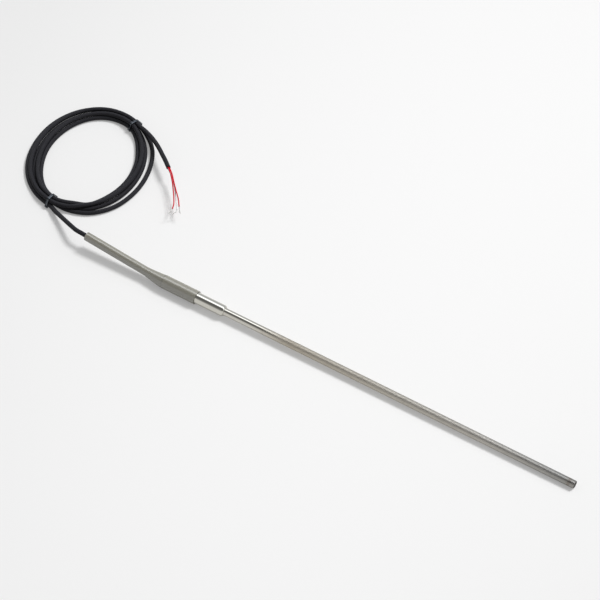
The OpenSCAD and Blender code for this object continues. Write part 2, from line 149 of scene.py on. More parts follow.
class StageSettings(bpy.types.PropertyGroup):
    """Camera, floor and light."""

    camera_place: point("Camera place", "Where the camera stands", (0.64476, -1.09382, 1.72328))
    camera_target: point("Camera target", "What the camera looks at", (-0.05681, 0.05532, 0.0))
    field: angle("Field of view", "The camera's angle of view", 15.54)
    floor: colour("Floor", "Colour of the studio floor", (0.665, 0.665, 0.665))
    glow: light("Floor glow", "Light that the camera and reflections see in the floor", 0.385)
    key: light("Key light", "Strength of the soft key light", 2.3)
    wide: light("Wide light", "Strength of the wider light round the key", 0.62)
    fill: light("Fill light", "Strength of the even fill light", 0.275)


# ---------------------------------------------------------------- curves and skins


def ease(x):
    """0 to 1 with a soft start and end."""
    t = min(max(x, 0.0), 1.0)
    return t * t * (3 - 2 * t)


def run_length(points):
    """Length of a line of points."""
    return sum((b - a).length for a, b in zip(points, points[1:]))


def smooth_route(points, step):
    """Evenly spaced points on a smooth curve through the given ones."""
    spans = [(b - a).length for a, b in zip(points, points[1:])]
    slopes = [(b - a) / span for a, b, span in zip(points, points[1:], spans)]
    inner = [(slopes[i] * spans[i + 1] + slopes[i + 1] * spans[i]) / (spans[i] + spans[i + 1])
             for i in range(len(spans) - 1)]
    slopes = [slopes[0], *inner, slopes[-1]]
    dense = [points[0].copy()]
    for i, span in enumerate(spans):
        parts = max(4, int(span / step * 4))
        for k in range(1, parts + 1):
            t = k / parts
            dense.append(
                points[i] * (2 * t**3 - 3 * t**2 + 1) + slopes[i] * span * (t**3 - 2 * t**2 + t)
                + points[i + 1] * (3 * t**2 - 2 * t**3) + slopes[i + 1] * span * (t**3 - t**2))
    return spaced(dense, step)


def spaced(points, step):
    """The same line with its points evenly spaced, about step apart."""
    total = run_length(points)
    count = max(2, round(total / step))
    pitch = total / count
    line = [points[0].copy()]
    passed = 0.0
    for a, b in zip(points, points[1:]):
        span = (b - a).length
        while len(line) < count and passed + span >= pitch * len(line):
            line.append(a.lerp(b, (pitch * len(line) - passed) / span))
        passed += span
    line.append(points[-1].copy())
    return line


def travelling_frames(points):
    """(place, side, top, forward) at each point, turning as little as possible."""
    frames = []
    side = None
    for i, p in enumerate(points):
        forward = (points[min(i + 1, len(points) - 1)] - points[max(i - 1, 0)]).normalized()
        side = forward.cross(UP) if side is None else side
        side = (side - forward * side.dot(forward)).normalized()
        frames.append((p, side, side.cross(forward) * -1, forward))
    return frames


def new_object(name, mesh, material, edge=35):
    """Adds a mesh to the scene, smooth apart from edges sharper than the given angle."""
    mesh.shade_smooth()
    mesh.set_sharp_from_angle(angle=math.radians(edge))
    piece = bpy.data.objects.new(name, mesh)
    bpy.context.scene.collection.objects.link(piece)
    mesh.materials.append(material)
    return piece


def skin(name, rings, along, material, looped=False, edge=35):
    """Closed skin through rings of equal count; a ring may be a single pole point.
    Its UV map holds the share of the way round and the distance along in metres."""
    starts = [sum(len(ring) for ring in rings[:i]) for i in range(len(rings))]
    order = list(range(len(rings))) + ([0] if looped else [])
    n = max(len(ring) for ring in rings)
    faces, uvs = [], []
    for i, j in zip(order, order[1:]):
        for k in range(n):
            m, u, w = (k + 1) % n, k / n, (k + 1) / n
            if len(rings[i]) == 1:
                corners = [(i, 0, u), (j, m, w), (j, k, u)]
            elif len(rings[j]) == 1:
                corners = [(i, k, u), (i, m, w), (j, 0, u)]
            else:
                corners = [(i, k, u), (i, m, w), (j, m, w), (j, k, u)]
            faces.append([starts[ring] + spot for ring, spot, share in corners])
            uvs += [(share, along[ring]) for ring, spot, share in corners]
    mesh = bpy.data.meshes.new(name)
    mesh.from_pydata([p for ring in rings for p in ring], [], faces)
    layer = mesh.uv_layers.new(name="UVMap")
    for loop, uv in zip(layer.data, uvs):
        loop.uv = uv
    mesh.validate()
    return new_object(name, mesh, material, edge)


def circle(place, side, top, radius, sides):
    """A ring of points; radius is a number or a function of the angle."""
    ring = []
    for k in range(sides):
        a = 2 * math.pi * k / sides
        r = radius(a) if callable(radius) else radius
        ring.append(place + side * (math.cos(a) * r) + top * (math.sin(a) * r))
    return ring


def turned(name, place, profile, material, looped=False):
    """Turned part: profile gives (distance along, radius) in metres on the probe's axis."""
    axis = place.to_3x3()
    side, top = axis @ Vector((0, 1, 0)), axis @ UP
    rings = []
    for x, r in profile:
        centre = place @ Vector((x, 0, 0))
        rings.append([centre] if r == 0 else circle(centre, side, top, r, TURNED_SIDES))
    return skin(name, rings, [x - r for x, r in profile], material, looped, edge=30)


def arc(x, r, radius, start, stop, steps):
    """Points on an arc round (x, r), from start to stop in degrees."""
    turns = [math.radians(start + (stop - start) * k / steps) for k in range(steps + 1)]
    return [(x + radius * math.cos(a), r + radius * math.sin(a)) for a in turns]


def joined(name, parts):
    """Several pieces as one object."""
    chosen = {"active_object": parts[0], "selected_objects": parts, "selected_editable_objects": parts}
    with bpy.context.temp_override(**chosen):
        bpy.ops.object.join()
    parts[0].name = name
    parts[0].data.name = name
    return parts[0]


def outward_faces(piece):
    """Turns a closed piece's faces outwards."""
    b = bmesh.new()
    b.from_mesh(piece.data)
    bmesh.ops.remove_doubles(b, verts=b.verts, dist=1e-7)
    bmesh.ops.recalc_face_normals(b, faces=b.faces)
    b.to_mesh(piece.data)
    b.free()
    return piece


# ---------------------------------------------------------------- nodes


class Nodes:
    """Adds nodes to one tree. A value that goes into a node is a number, a colour or
    another node's output."""

    def __init__(self, tree):
        self.tree = tree

    def feed(self, socket, value):
        """Links an input to a value, or sets it."""
        if isinstance(value, bpy.types.NodeSocket):
            self.tree.links.new(value, socket)
        else:
            socket.default_value = value

    def put(self, kind, values=None, **settings):
        """A new node's outputs, once it is set and its inputs are filled."""
        node = self.tree.nodes.new(kind)
        for key, value in settings.items():
            setattr(node, key, value)
        for key, value in (values or {}).items():
            self.feed(node.inputs[key], value)
        return node.outputs

    def first(self, kind, values=None, **settings):
        """A new node's first output."""
        return self.put(kind, values, **settings)[0]

    def maths(self, operation, *values):
        return self.first("ShaderNodeMath", dict(enumerate(values)), operation=operation)

    def times(self, a, b):
        return self.maths("MULTIPLY", a, b)

    def add(self, a, b, share=1.0):
        """a plus a share of b."""
        return self.maths("MULTIPLY_ADD", b, share, a)

    def spread(self, value, start=0.0, stop=1.0, low=0.0, high=1.0, kind="LINEAR"):
        """A value between start and stop, moved to lie between low and high."""
        return self.first("ShaderNodeMapRange", {
            "Value": value, "From Min": start, "From Max": stop, "To Min": low, "To Max": high,
        }, interpolation_type=kind)

    def between(self, value, low, high):
        """A 0 to 1 value moved into a range."""
        return self.spread(value, low=low, high=high)

    def split(self, vector):
        """A vector's X, Y and Z."""
        return self.put("ShaderNodeSeparateXYZ", {0: vector})

    def merge(self, x, y, z):
        """A vector from X, Y and Z."""
        return self.first("ShaderNodeCombineXYZ", {"X": x, "Y": y, "Z": z})

    def vector(self, operation, a, b):
        key = "Scale" if operation == "SCALE" else 1
        return self.first("ShaderNodeVectorMath", {0: a, key: b}, operation=operation)

    def noise(self, place, scale, detail=2.0, rough=0.5):
        return self.first("ShaderNodeTexNoise", {
            "Vector": place, "Scale": scale, "Detail": detail, "Roughness": rough})

    def ramp(self, factor, stops):
        """A colour ramp's result; stops are (place, grey or colour)."""
        node = self.tree.nodes.new("ShaderNodeValToRGB")
        self.feed(node.inputs["Fac"], factor)
        band = node.color_ramp.elements
        while len(band) < len(stops):
            band.new(0.5)
        for element, (position, tone) in zip(band, stops):
            element.position = position
            element.color = (*(tone if isinstance(tone, tuple) else (tone,) * 3), 1)
        return node.outputs["Color"]

    def blend(self, factor, a, b, kind="MIX"):
        """Two colours mixed."""
        a, b = (x if isinstance(x, bpy.types.NodeSocket) else (*x, 1) for x in (a, b))
        return self.put("ShaderNodeMix", {"Factor": factor, 6: a, 7: b}, data_type="RGBA", blend_type=kind)[2]

    def tinted(self, a, b):
        """One colour times another."""
        return self.blend(1.0, a, b, "MULTIPLY")

    def mottled(self, mask, rgb, dark, pale):
        """A colour that goes from a darker to a paler shade with a mask."""
        return self.blend(mask, shade(rgb, dark), shade(rgb, pale))

    def rays(self, *kinds):
        """1 on rays of these kinds."""
        path = self.put("ShaderNodeLightPath")
        mask = path[kinds[0]]
        for kind in kinds[1:]:
            mask = self.maths("MAXIMUM", mask, path[kind])
        return mask


def shade(rgb, by):
    """A colour made lighter or darker."""
    return tuple(min(max(c * by, 0.0), 1.0) for c in rgb)


def new_tree(name, kind, inputs):
    """An empty node group with named inputs: its nodes, and what the inputs give."""
    n = Nodes(bpy.data.node_groups.new(name, kind))
    for label, socket in inputs.items():
        n.tree.interface.new_socket(label, in_out="INPUT", socket_type="NodeSocket" + socket)
    return n, n.put("NodeGroupInput")


def end_tree(n, kind, results):
    """The node group, once it gives out its results."""
    for label in results:
        n.tree.interface.new_socket(label, in_out="OUTPUT", socket_type="NodeSocket" + kind)
    end = n.tree.nodes.new("NodeGroupOutput").inputs
    for label, value in results.items():
        n.feed(end[label], value)
    return n.tree


def streaks_effect(name):
    """Streaks that run along a tube, with no seam: UV round and along."""
    n, given = new_tree(name, "ShaderNodeTree", {
        "UV": "Vector", "Along": "Float", "Around": "Float", "Detail": "Float"})
    uv = n.split(given["UV"])
    turn = n.times(uv["X"], 2 * math.pi)
    x, y = (n.times(n.maths(way, turn), given["Around"]) for way in ("COSINE", "SINE"))
    place = n.merge(x, y, n.times(uv["Y"], given["Along"]))
    return end_tree(n, "Float", {
        "Streaks": n.noise(place, 1.0, given["Detail"], 0.6), "Broad": n.noise(place, 0.23)})


def grain_effect(name):
    """Even moulded or cast grain in object space."""
    n, given = new_tree(name, "ShaderNodeTree", {
        "Place": "Vector", "Scale": "Float", "Mottle Scale": "Float"})
    return end_tree(n, "Float", {
        "Grain": n.noise(given["Place"], given["Scale"], 3.0, 0.55),
        "Mottle": n.noise(given["Place"], given["Mottle Scale"], 4.0, 0.6)})


def marks_effect(name):
    """Sparse handling marks: short fine scratches and soft smudges."""
    n, given = new_tree(name, "ShaderNodeTree", {"Place": "Vector", "Scale": "Float", "Amount": "Float"})
    place, scale, amount = given["Place"], given["Scale"], given["Amount"]
    lines = n.put("ShaderNodeTexVoronoi", {
        "Vector": place, "Scale": n.times(scale, 3.0)}, feature="DISTANCE_TO_EDGE")["Distance"]
    thin = n.spread(lines, 0.0, 0.02, 1.0, 0.0)
    sparse = n.spread(n.noise(place, scale), 0.55, 0.65)
    patch = n.spread(n.noise(place, n.times(scale, 0.8), 5.0, 0.65), 0.48, 0.7)
    return end_tree(n, "Float", {
        "Scratches": n.times(n.times(thin, sparse), amount), "Smudges": n.times(patch, amount)})


# ---------------------------------------------------------------- finishes


class Finish(Nodes):
    """A material in the making: the shader's even values, and the effects that the
    finishes share."""

    def __init__(self, name, even):
        self.material = bpy.data.materials.new(name)
        self.material.use_nodes = True
        super().__init__(self.material.node_tree)
        self.shader = self.tree.nodes["Principled BSDF"].inputs
        for key, value in even.items():
            self.shader[key].default_value = value

    @cached_property
    def uv(self):
        """The piece's own UV map."""
        return self.first("ShaderNodeUVMap", uv_map="UVMap")

    @cached_property
    def along(self):
        """Distance along the piece in metres."""
        return self.split(self.uv)["Y"]

    @cached_property
    def place(self):
        """Object coordinates."""
        return self.put("ShaderNodeTexCoord")["Object"]

    def effect(self, name, build, values):
        """Places a shader node group, which is built for its first use."""
        group = bpy.data.node_groups.get(name) or build(name)
        return self.put("ShaderNodeGroup", values, node_tree=group)

    def streaks(self, along, around, detail):
        return self.effect("Lengthwise streaks", streaks_effect, {
            "UV": self.uv, "Along": along, "Around": around, "Detail": detail})

    def grain(self, scale, mottle):
        return self.effect("Surface grain", grain_effect, {
            "Place": self.place, "Scale": scale, "Mottle Scale": mottle})

    def marks(self, scale, amount):
        return self.effect("Handling marks", marks_effect, {
            "Place": self.place, "Scale": scale, "Amount": amount})

    def made(self, tone, rough, height=None, strength=0.0, depth=0.0):
        """The material, with its colour, roughness and relief on the shader."""
        self.feed(self.shader["Base Color"], tone)
        self.feed(self.shader["Roughness"], rough)
        if height is not None:
            relief = {"Height": height, "Strength": strength, "Distance": depth}
            self.feed(self.shader["Normal"], self.first("ShaderNodeBump", relief))
        return self.material


# painted shade along the sheath, from the sleeve to the tip: the steel darkens midway and towards the tip for
# its dimmer reflections and the reflected contact shadow
PAINTED_STEEL_SHADE = [(0.06, 1.0), (0.18, (0.83, 0.785, 0.73)), (0.5, (0.84, 0.82, 0.8)),
               (0.75, (0.8, 0.79, 0.8)), (1.0, (0.52, 0.53, 0.56))]
# over the last of the sheath, then the end face: a brown heat tint beside the weld, then an end face painted
# dark as a painted reflection of the dark surroundings
HEAT_TINT_AND_PAINTED_END_SHADE = [(0.0, 1.0), (0.26, (0.96, 0.94, 0.91)), (0.33, (0.76, 0.7, 0.65)), (0.42, (0.8, 0.75, 0.71)),
             (0.48, (0.94, 0.92, 0.9)), (0.74, (0.98, 0.97, 0.96)), (0.765, (0.2, 0.18, 0.16)),
             (1.0, (0.1, 0.09, 0.08))]
TIP_DULLNESS = [(0.0, 0.333), (0.6, 0.0), (0.74, 0.0), (0.77, 1.0)]
BARE_COPPER = (0.62, 0.36, 0.24)
DUST = (0.13, 0.135, 0.15)


def sheath_steel(paint, probe):
    """Centreless ground tube: fine lengthwise haze, smoother and brighter near the sleeve, a brown heat tint
    beside the welded tip, and painted shade: the steel's colour darkens along the tube towards the tip for
    its dimmer reflections, and the end face is painted dark as a painted reflection."""
    m = Finish("Ground sheath steel", {"Metallic": 1.0})
    haze = m.streaks(along=26.0, around=9.0, detail=5.0)["Streaks"]
    lines = m.streaks(along=190.0, around=26.0, detail=4.0)["Streaks"]
    marks = m.marks(scale=110.0, amount=0.6)
    # the UV runs along the tube less the radius, so the end face lies past the wall
    tip = probe.sheath_length - probe.sheath_diameter / 2
    reach = m.spread(m.along, tip - 12 * MM, tip + 4 * MM)
    share = m.spread(m.along, 0.0, tip)
    # painted shade: the steel's colour darkens along the tube towards the tip
    steel = m.tinted(m.ramp(share, PAINTED_STEEL_SHADE), tuple(paint.sheath))
    steel = m.tinted(steel, m.between(haze, 0.9, 1.1))
    steel = m.tinted(steel, m.between(marks["Smudges"], 1.0, 0.92))
    # brown heat tint by the weld, and the end face painted dark as a painted reflection
    steel = m.tinted(steel, m.ramp(reach, HEAT_TINT_AND_PAINTED_END_SHADE))
    # bright beside the sleeve, hazy along the middle, smoother towards the tip
    rough = m.add(m.between(haze, 0.08, 0.2), m.spread(m.along, 30 * MM, 68 * MM, kind="SMOOTHSTEP"), 0.41)
    rough = m.add(rough, m.times(share, share), -0.11)
    rough = m.add(rough, marks["Smudges"], 0.1)
    rough = m.add(rough, m.between(m.ramp(reach, TIP_DULLNESS), -0.1, 0.2))
    height = m.add(m.times(lines, 0.7), marks["Scratches"], -1.0)
    return m.made(steel, rough, height, strength=0.25, depth=0.02 * MM)


def sleeve_steel(paint):
    """Mirror polish with faint turning lines and a few wipe marks."""
    m = Finish("Polished sleeve steel", {"Metallic": 1.0})
    rings = m.streaks(along=9000.0, around=0.6, detail=2.0)
    marks = m.marks(scale=160.0, amount=0.5)
    rough = m.add(m.between(rings["Streaks"], 0.05, 0.09), marks["Smudges"], 0.08)
    height = m.add(m.times(rings["Streaks"], 0.25), marks["Scratches"], -1.0)
    tone = m.mottled(rings["Broad"], paint.sleeve, 0.97, 1.03)
    return m.made(tone, rough, height, strength=0.12, depth=0.01 * MM)


def boot_plastic(paint, probe):
    """Shrink tube: satin grey with soft drawn lines, faint mottling and handling marks."""
    m = Finish("Grey shrink tube", {"Specular IOR Level": 1.0, "IOR": 1.66})
    drawn = m.streaks(along=60.0, around=7.0, detail=3.0)["Streaks"]
    grain = m.grain(scale=2600.0, mottle=130.0)
    marks = m.marks(scale=140.0, amount=0.5)
    tone = m.mottled(grain["Mottle"], paint.boot, 0.96, 1.04)
    tone = m.blend(m.times(drawn, 0.3), tone, shade(paint.boot, 1.1))
    tone = m.blend(m.times(marks["Smudges"], 0.3), tone, shade(paint.boot, 1.12))
    # painted shade: the fold over the sleeve's end and the cut front edge are painted darker, for the shade
    # in the crease and in the gap at the front edge
    fold = m.maths("ABSOLUTE", m.add(m.along, -probe.fold_place))
    fold = m.spread(fold, 0.0, 1.5 * MM, 0.42, 0.0)
    lip = m.spread(m.along, 0.0, 0.8 * MM, 0.3, 0.0)
    tone = m.blend(m.maths("MAXIMUM", fold, lip), tone, shade(paint.boot, 0.4))
    rough = m.add(m.between(grain["Mottle"], 0.2, 0.26), marks["Smudges"], 0.08)
    height = m.add(m.times(grain["Grain"], 0.3), drawn, 0.8)
    return m.made(tone, rough, height, strength=0.2, depth=0.05 * MM)


def jacket_plastic(paint):
    """Soft black jacket with die lines along it, a little bloom and dust on top."""
    m = Finish("Black cable jacket", {"Specular IOR Level": 0.12})
    lines = m.streaks(along=14.0, around=8.0, detail=4.0)["Streaks"]
    grain = m.grain(scale=3000.0, mottle=160.0)
    marks = m.marks(scale=150.0, amount=0.6)
    tone = m.mottled(grain["Mottle"], paint.jacket, 0.85, 1.2)
    tone = m.blend(m.times(marks["Smudges"], 0.3), tone, shade(paint.jacket, 1.6))
    top = m.split(m.put("ShaderNodeNewGeometry")["Normal"])["Z"]
    dust = m.times(m.spread(top, 0.5, 1.0, 0.0, 0.035), grain["Grain"])
    rough = m.add(m.between(lines, 0.52, 0.66), marks["Smudges"], 0.1)
    height = m.add(lines, grain["Grain"], 0.4)
    return m.made(m.blend(dust, tone, DUST), rough, height, strength=0.3, depth=0.05 * MM)


def core_plastic(name, rgb, rough):
    """Smooth core insulation with faint die lines and slightly uneven colour."""
    m = Finish(name, {"Specular IOR Level": 0.3, "Subsurface Weight": 0.05,
                      "Subsurface Radius": (0.0006, 0.0003, 0.0003), "Subsurface Scale": 1.0})
    lines = m.streaks(along=40.0, around=3.0, detail=3.0)["Streaks"]
    tone = m.mottled(m.grain(scale=3500.0, mottle=260.0)["Mottle"], rgb, 0.9, 1.08)
    return m.made(tone, m.between(lines, rough - 0.05, rough + 0.07), lines, strength=0.15, depth=0.03 * MM)


def strand_metal(paint):
    """Tinned strands, a little dull, with copper showing through in places."""
    m = Finish("Tinned strands", {"Metallic": 1.0})
    grain = m.grain(scale=5000.0, mottle=900.0)
    bare = m.spread(grain["Mottle"], 0.6, 0.72, 0.0, 0.3)
    return m.made(m.blend(bare, tuple(paint.conductor), BARE_COPPER), m.between(grain["Grain"], 0.3, 0.5))


def tie_nylon(paint):
    """Moulded black nylon with a soft sheen."""
    m = Finish("Black nylon tie", {
        "Specular IOR Level": 1.0, "IOR": 1.6, "Specular Tint": (0.82, 0.9, 1.0, 1)})
    grain = m.grain(scale=2400.0, mottle=300.0)
    tone = m.mottled(grain["Mottle"], paint.tie, 0.8, 1.3)
    return m.made(tone, m.between(grain["Grain"], 0.05, 0.1), grain["Grain"], strength=0.05, depth=0.04 * MM)


def inner_finish(name, rgb, rough, metallic, scale, contrast):
    """Finish of a part inside the probe: mottled colour, grain and matching roughness."""
    m = Finish(name, {"Metallic": metallic})
    grain = m.grain(scale, scale * 0.12)
    tone = m.mottled(grain["Mottle"], rgb, 1 - contrast, 1 + contrast)
    rough = m.between(grain["Grain"], rough - 0.06, rough + 0.06)
    return m.made(tone, rough, grain["Grain"], strength=0.3, depth=0.04 * MM)


# ---------------------------------------------------------------- layout of the probe


def neck_way(probe):
    """Direction of the boot's neck in the probe's own axes."""
    b, roll = probe.neck_bend, probe.neck_roll
    return Vector((-math.cos(b), math.sin(b) * math.sin(roll), math.sin(b) * math.cos(roll)))


def neck_end(probe):
    """The middle of the boot's mouth in the probe's own axes."""
    joint = Vector((-probe.sleeve_front - probe.sleeve_back, 0, 0))
    return joint + neck_way(probe) * (probe.boot_cone + probe.neck_length)


def probe_place(probe):
    """The matrix that lays the probe on the floor: its own axes run along the sheath from
    the sleeve's shoulder, and it rests on the boot's front edge and on the tip."""
    boot_r = probe.sleeve_diameter / 2 + probe.boot_wall
    sheath_r = probe.sheath_diameter / 2
    neck_r = probe.neck_diameter / 2
    edge = probe.tip_round
    run_a = probe.sheath_length - edge + probe.sleeve_front
    run_b = boot_r - sheath_r + edge
    tilt = math.atan2(run_b, run_a) - math.asin(edge / math.hypot(run_a, run_b))
    turn = Matrix.Rotation(tilt, 4, "Y")
    end, way = turn @ neck_end(probe), turn @ neck_way(probe)
    high = (probe.sheath_length - edge) * math.cos(tilt) + (sheath_r - edge) * math.sin(tilt) + edge
    low = end.x - neck_r * math.sqrt(1 - way.x**2)
    wide = max(boot_r, end.y + neck_r * math.sqrt(1 - way.y**2))
    lift = boot_r * math.cos(tilt) - probe.sleeve_front * math.sin(tilt)
    return Matrix.Translation((-(high + low) / 2, (boot_r - wide) / 2, lift)) @ turn


def boot_mouth(probe):
    """Where the cable leaves the boot, and its direction there."""
    place = probe_place(probe)
    return place @ neck_end(probe), place.to_3x3() @ neck_way(probe)


# ---------------------------------------------------------------- route of the cable

# stations of the ties round the coil, in degrees
LOW_TIE, HIGH_TIE = 159.0, -30.0
STRANDS, POINTS_A_SIDE = 5, 60
# the lower strap has slipped a little along the bundle
STRAPS = (("lower", 162.4), ("upper", HIGH_TIE))
STRAP_GAP = 0.1 * MM
# strands across the bundle, outwards and up: in pitches at the ties, in diameters between
TIED = [(1, 0), (0, 0), (-1, 0), (-0.5, 1), (0.5, 1)]
SIDE_LEFT = [(1.6, 0), (0, 0), (-1.6, 0), (-0.83, 0.65), (0.82, 0.64)]
SIDE_RIGHT = [(1.7, 0), (0.06, 0), (-1.6, 0), (-0.6, 0.8)]
# from the boot to the lower tie: share of the way, sideways and height
LEAD = [(0.19, 0.0032, 0.0148), (0.29, 0.003, 0.0133), (0.4, 0.0024, 0.0113),
        (0.52, 0.0017, 0.0091), (0.63, 0.001, 0.0071), (0.74, 0.0005, 0.0053)]
# from the upper tie to the end of the jacket, X and Y from the tie
TAIL = [(0.017, -0.0065, 0.0096), (0.0255, -0.0105, 0.011), (0.0345, -0.0155, 0.0122),
        (0.043, -0.021, 0.0132), (0.051, -0.027, 0.014), (0.059, -0.033, 0.0146),
        (0.064, -0.037, 0.0149), (0.068, -0.0402, 0.015)]
# cores: place round the jacket's axis in degrees, points with X and Y from the end of the
# jacket, and the end of the bare strands
CORES = {
    "red_left": (60, [(0.0064, -0.006, 0.0154), (0.0135, -0.0136, 0.0144), (0.0204, -0.0222, 0.0134),
                      (0.0268, -0.0309, 0.0124), (0.0305, -0.037, 0.0118), (0.0323, -0.042, 0.0114)],
                 (0.0319, -0.0497, 0.011)),
    "red_right": (180, [(0.0069, -0.0042, 0.0138), (0.014, -0.0116, 0.0127), (0.0223, -0.0201, 0.0124),
                        (0.0305, -0.0283, 0.012), (0.0367, -0.0362, 0.0116)],
                  (0.0418, -0.0429, 0.0112)),
    "white": (300, [(0.005, -0.0039, 0.0123), (0.0127, -0.0107, 0.011), (0.0206, -0.0194, 0.0105),
                    (0.0275, -0.0284, 0.0102), (0.0326, -0.0347, 0.01), (0.036, -0.0396, 0.0098)],
              (0.0351, -0.0468, 0.0095)),
}


class CoilLayout:
    """The oval coil: strands side by side and on each other, held by two ties."""

    def __init__(self, probe, cable):
        self.mouth, self.mouth_way = boot_mouth(probe)
        self.radius = cable.cable_diameter / 2
        self.size = cable.cable_diameter
        # neighbours a little apart, the upper row in the hollows, and a strap underneath
        self.pitch = self.size * 1.03
        self.level = self.pitch * math.sqrt(3) / 2
        self.under = cable.strap_thickness + STRAP_GAP
        self.half = (cable.coil_long, cable.coil_short)
        self.turn = cable.coil_turn
        self.centre = Vector((self.mouth.x + cable.coil_x, self.mouth.y + cable.coil_y, 0))

    def turned(self, x, y):
        """A point of the oval's own axes, on the floor."""
        c, s = math.cos(self.turn), math.sin(self.turn)
        return Vector((x * c - y * s, x * s + y * c, 0))

    def middle(self, degrees):
        """The coil's middle line on the floor."""
        a = math.radians(degrees)
        return self.centre + self.turned(self.half[0] * math.cos(a), self.half[1] * math.sin(a))

    def outward(self, degrees):
        """The way out of the coil there."""
        a = math.radians(degrees)
        return self.turned(self.half[1] * math.cos(a), self.half[0] * math.sin(a)).normalized()

    def onward(self, degrees):
        """The way the cable runs there."""
        n = self.outward(degrees)
        return Vector((n.y, -n.x, 0))

    def rolled(self, i, f):
        """Outwards and up for strand i where the bundle rolls over by one strand."""
        q = ease((f - 0.7) / 0.28)
        if i == 0:
            return (1 - q) * self.pitch, 0.0
        if i == 1:
            return -q * self.pitch, 0.0
        high = i == 2 or q > 0.5
        a = math.radians(180 - 120 * q if high else 120 - 120 * q)
        base = -q if i == 2 or q <= 0.5 else 1 - q
        return (base + math.cos(a)) * self.pitch, math.sin(a) * self.pitch

    def strand(self, side, i, f):
        """Point of strand i on one side of the coil, f of the way from tie to tie. The
        strands are packed at the ties and loose between them."""
        if side == 0:
            station = LOW_TIE + (HIGH_TIE - LOW_TIE) * f
            loose = ease(f / 0.3) * ease((1 - f) / 0.5)
            free = SIDE_LEFT[i]
        else:
            station = HIGH_TIE + (LOW_TIE - 360 - HIGH_TIE) * f
            loose = ease(f / 0.22) * ease((0.82 - f) / 0.25)
            free = SIDE_RIGHT[i]
        if side == 1 and f > 0.7:
            out, up = self.rolled(i, f)
        else:
            out, up = TIED[i][0] * self.pitch, TIED[i][1] * self.level
        out += (free[0] * self.size - out) * loose
        up += (free[1] * self.size - up) * loose
        up += self.radius + self.under * (1 - ease(min(f, 1 - f) / 0.13))
        return self.middle(station) + self.outward(station) * out + UP * up

    def turns(self):
        """The four and a half turns, in order."""
        sides = [(side, i) for i in range(STRANDS) for side in (0, 1)][:-1]
        line = [self.strand(side, i, k / POINTS_A_SIDE) for side, i in sides for k in range(POINTS_A_SIDE)]
        return line + [self.strand(0, STRANDS - 1, 1.0)]

    def lead(self):
        """From the boot to the lower tie."""
        low = self.strand(0, 0, 0.0)
        run = Vector((low.x - self.mouth.x, low.y - self.mouth.y, 0))
        aside = Vector((-run.y, run.x, 0)).normalized()
        line = [self.mouth, self.mouth + self.mouth_way * 5 * MM]
        for share, off, height in LEAD:
            p = self.mouth + run * share + aside * off
            line.append(Vector((p.x, p.y, height)))
        way = self.onward(LOW_TIE)
        return line + [low - way * 7 * MM, low - way * 3 * MM]

    def tail(self):
        """From the upper tie to the end of the jacket."""
        high = self.strand(0, STRANDS - 1, 1.0)
        way = self.onward(HIGH_TIE)
        line = [high + way * 3 * MM, high + way * 8 * MM + UP * 0.4 * MM]
        return line + [Vector((high.x + x, high.y + y, z)) for x, y, z in TAIL]

    def route(self):
        """The whole free cable, with evenly spaced points."""
        return smooth_route(self.lead() + self.turns() + self.tail(), CABLE_STEP)


def core_route(name, cable, jacket_end, jacket_way):
    """A core from inside the jacket to the end of its insulation, and its bare end."""
    degrees, points, bare = CORES[name]
    a = math.radians(degrees)
    side = jacket_way.cross(UP).normalized()
    top = side.cross(jacket_way)
    off = side * math.cos(a) + top * math.sin(a)
    # the three cores lie against each other in the jacket
    lane = (MM + cable.core_diameter / 2) / math.sqrt(3) + 0.01 * MM
    start = jacket_end + off * lane
    line = [start - jacket_way * 3 * MM, start, start + jacket_way * 1.5 * MM]
    line += [Vector((jacket_end.x + x, jacket_end.y + y, z)) for x, y, z in points]
    last = Vector((jacket_end.x + bare[0], jacket_end.y + bare[1], bare[2]))
    way, end = (line[-1] - line[-2]).normalized(), line[-1]
    return smooth_route(line, CORE_STEP), [end - way * MM, end, end + way * 1.5 * MM, last]


# ---------------------------------------------------------------- cable and cores


def tube(name, line, radius, sides, end, material):
    """A tube along a line. radius is a number or a function of the distance and the
    angle; end lists (distance past the last point, radius) of the rings at its end."""
    frames = travelling_frames(line)
    rings, along, far = [[frames[0][0]]], [0.0], 0.0
    for i, (p, side, top, forward) in enumerate(frames):
        far += (p - frames[i - 1][0]).length if i else 0.0
        here = (lambda a, s=far: radius(s, a)) if callable(radius) else radius
        rings.append(circle(p, side, top, here, sides))
        along.append(far)
    p, side, top, forward = frames[-1]
    for ahead, r in end:
        rings.append(circle(p + forward * ahead, side, top, r, sides))
        along.append(far + abs(ahead))
    rings.append([p + forward * end[-1][0]])
    along.append(far)
    # these rings run clockwise, so the faces are turned to point outwards
    piece = skin(name, [ring[::-1] for ring in rings], along, material, edge=50)
    piece.data.flip_normals()
    return piece


def make_cable(probe, cable, paint):
    """The jacketed cable from the boot through the coil to its cut end."""
    coil = CoilLayout(probe, cable)
    line = coil.route()
    r = cable.cable_diameter / 2

    def jacket(s, a):
        # the three twisted cores show through as a faint swell
        return r * (1 + 0.007 * math.cos(3 * a + 2 * math.pi * s / cable.lay) - 0.003)

    end = [(0.12 * MM, r - 0.12 * MM), (0.12 * MM, r - 0.42 * MM), (-2.6 * MM, r - 0.45 * MM)]
    return tube("signal_cable", line, jacket, CABLE_SIDES, end, jacket_plastic(paint)), line


def end_growth(n, geometry, material):
    """Ends a geometry tree with real geometry in its material."""
    solid = n.first("GeometryNodeRealizeInstances", {"Geometry": geometry})
    solid = n.first("GeometryNodeSetMaterial", {"Geometry": solid, "Material": material})
    return end_tree(n, "Geometry", {"Geometry": solid})


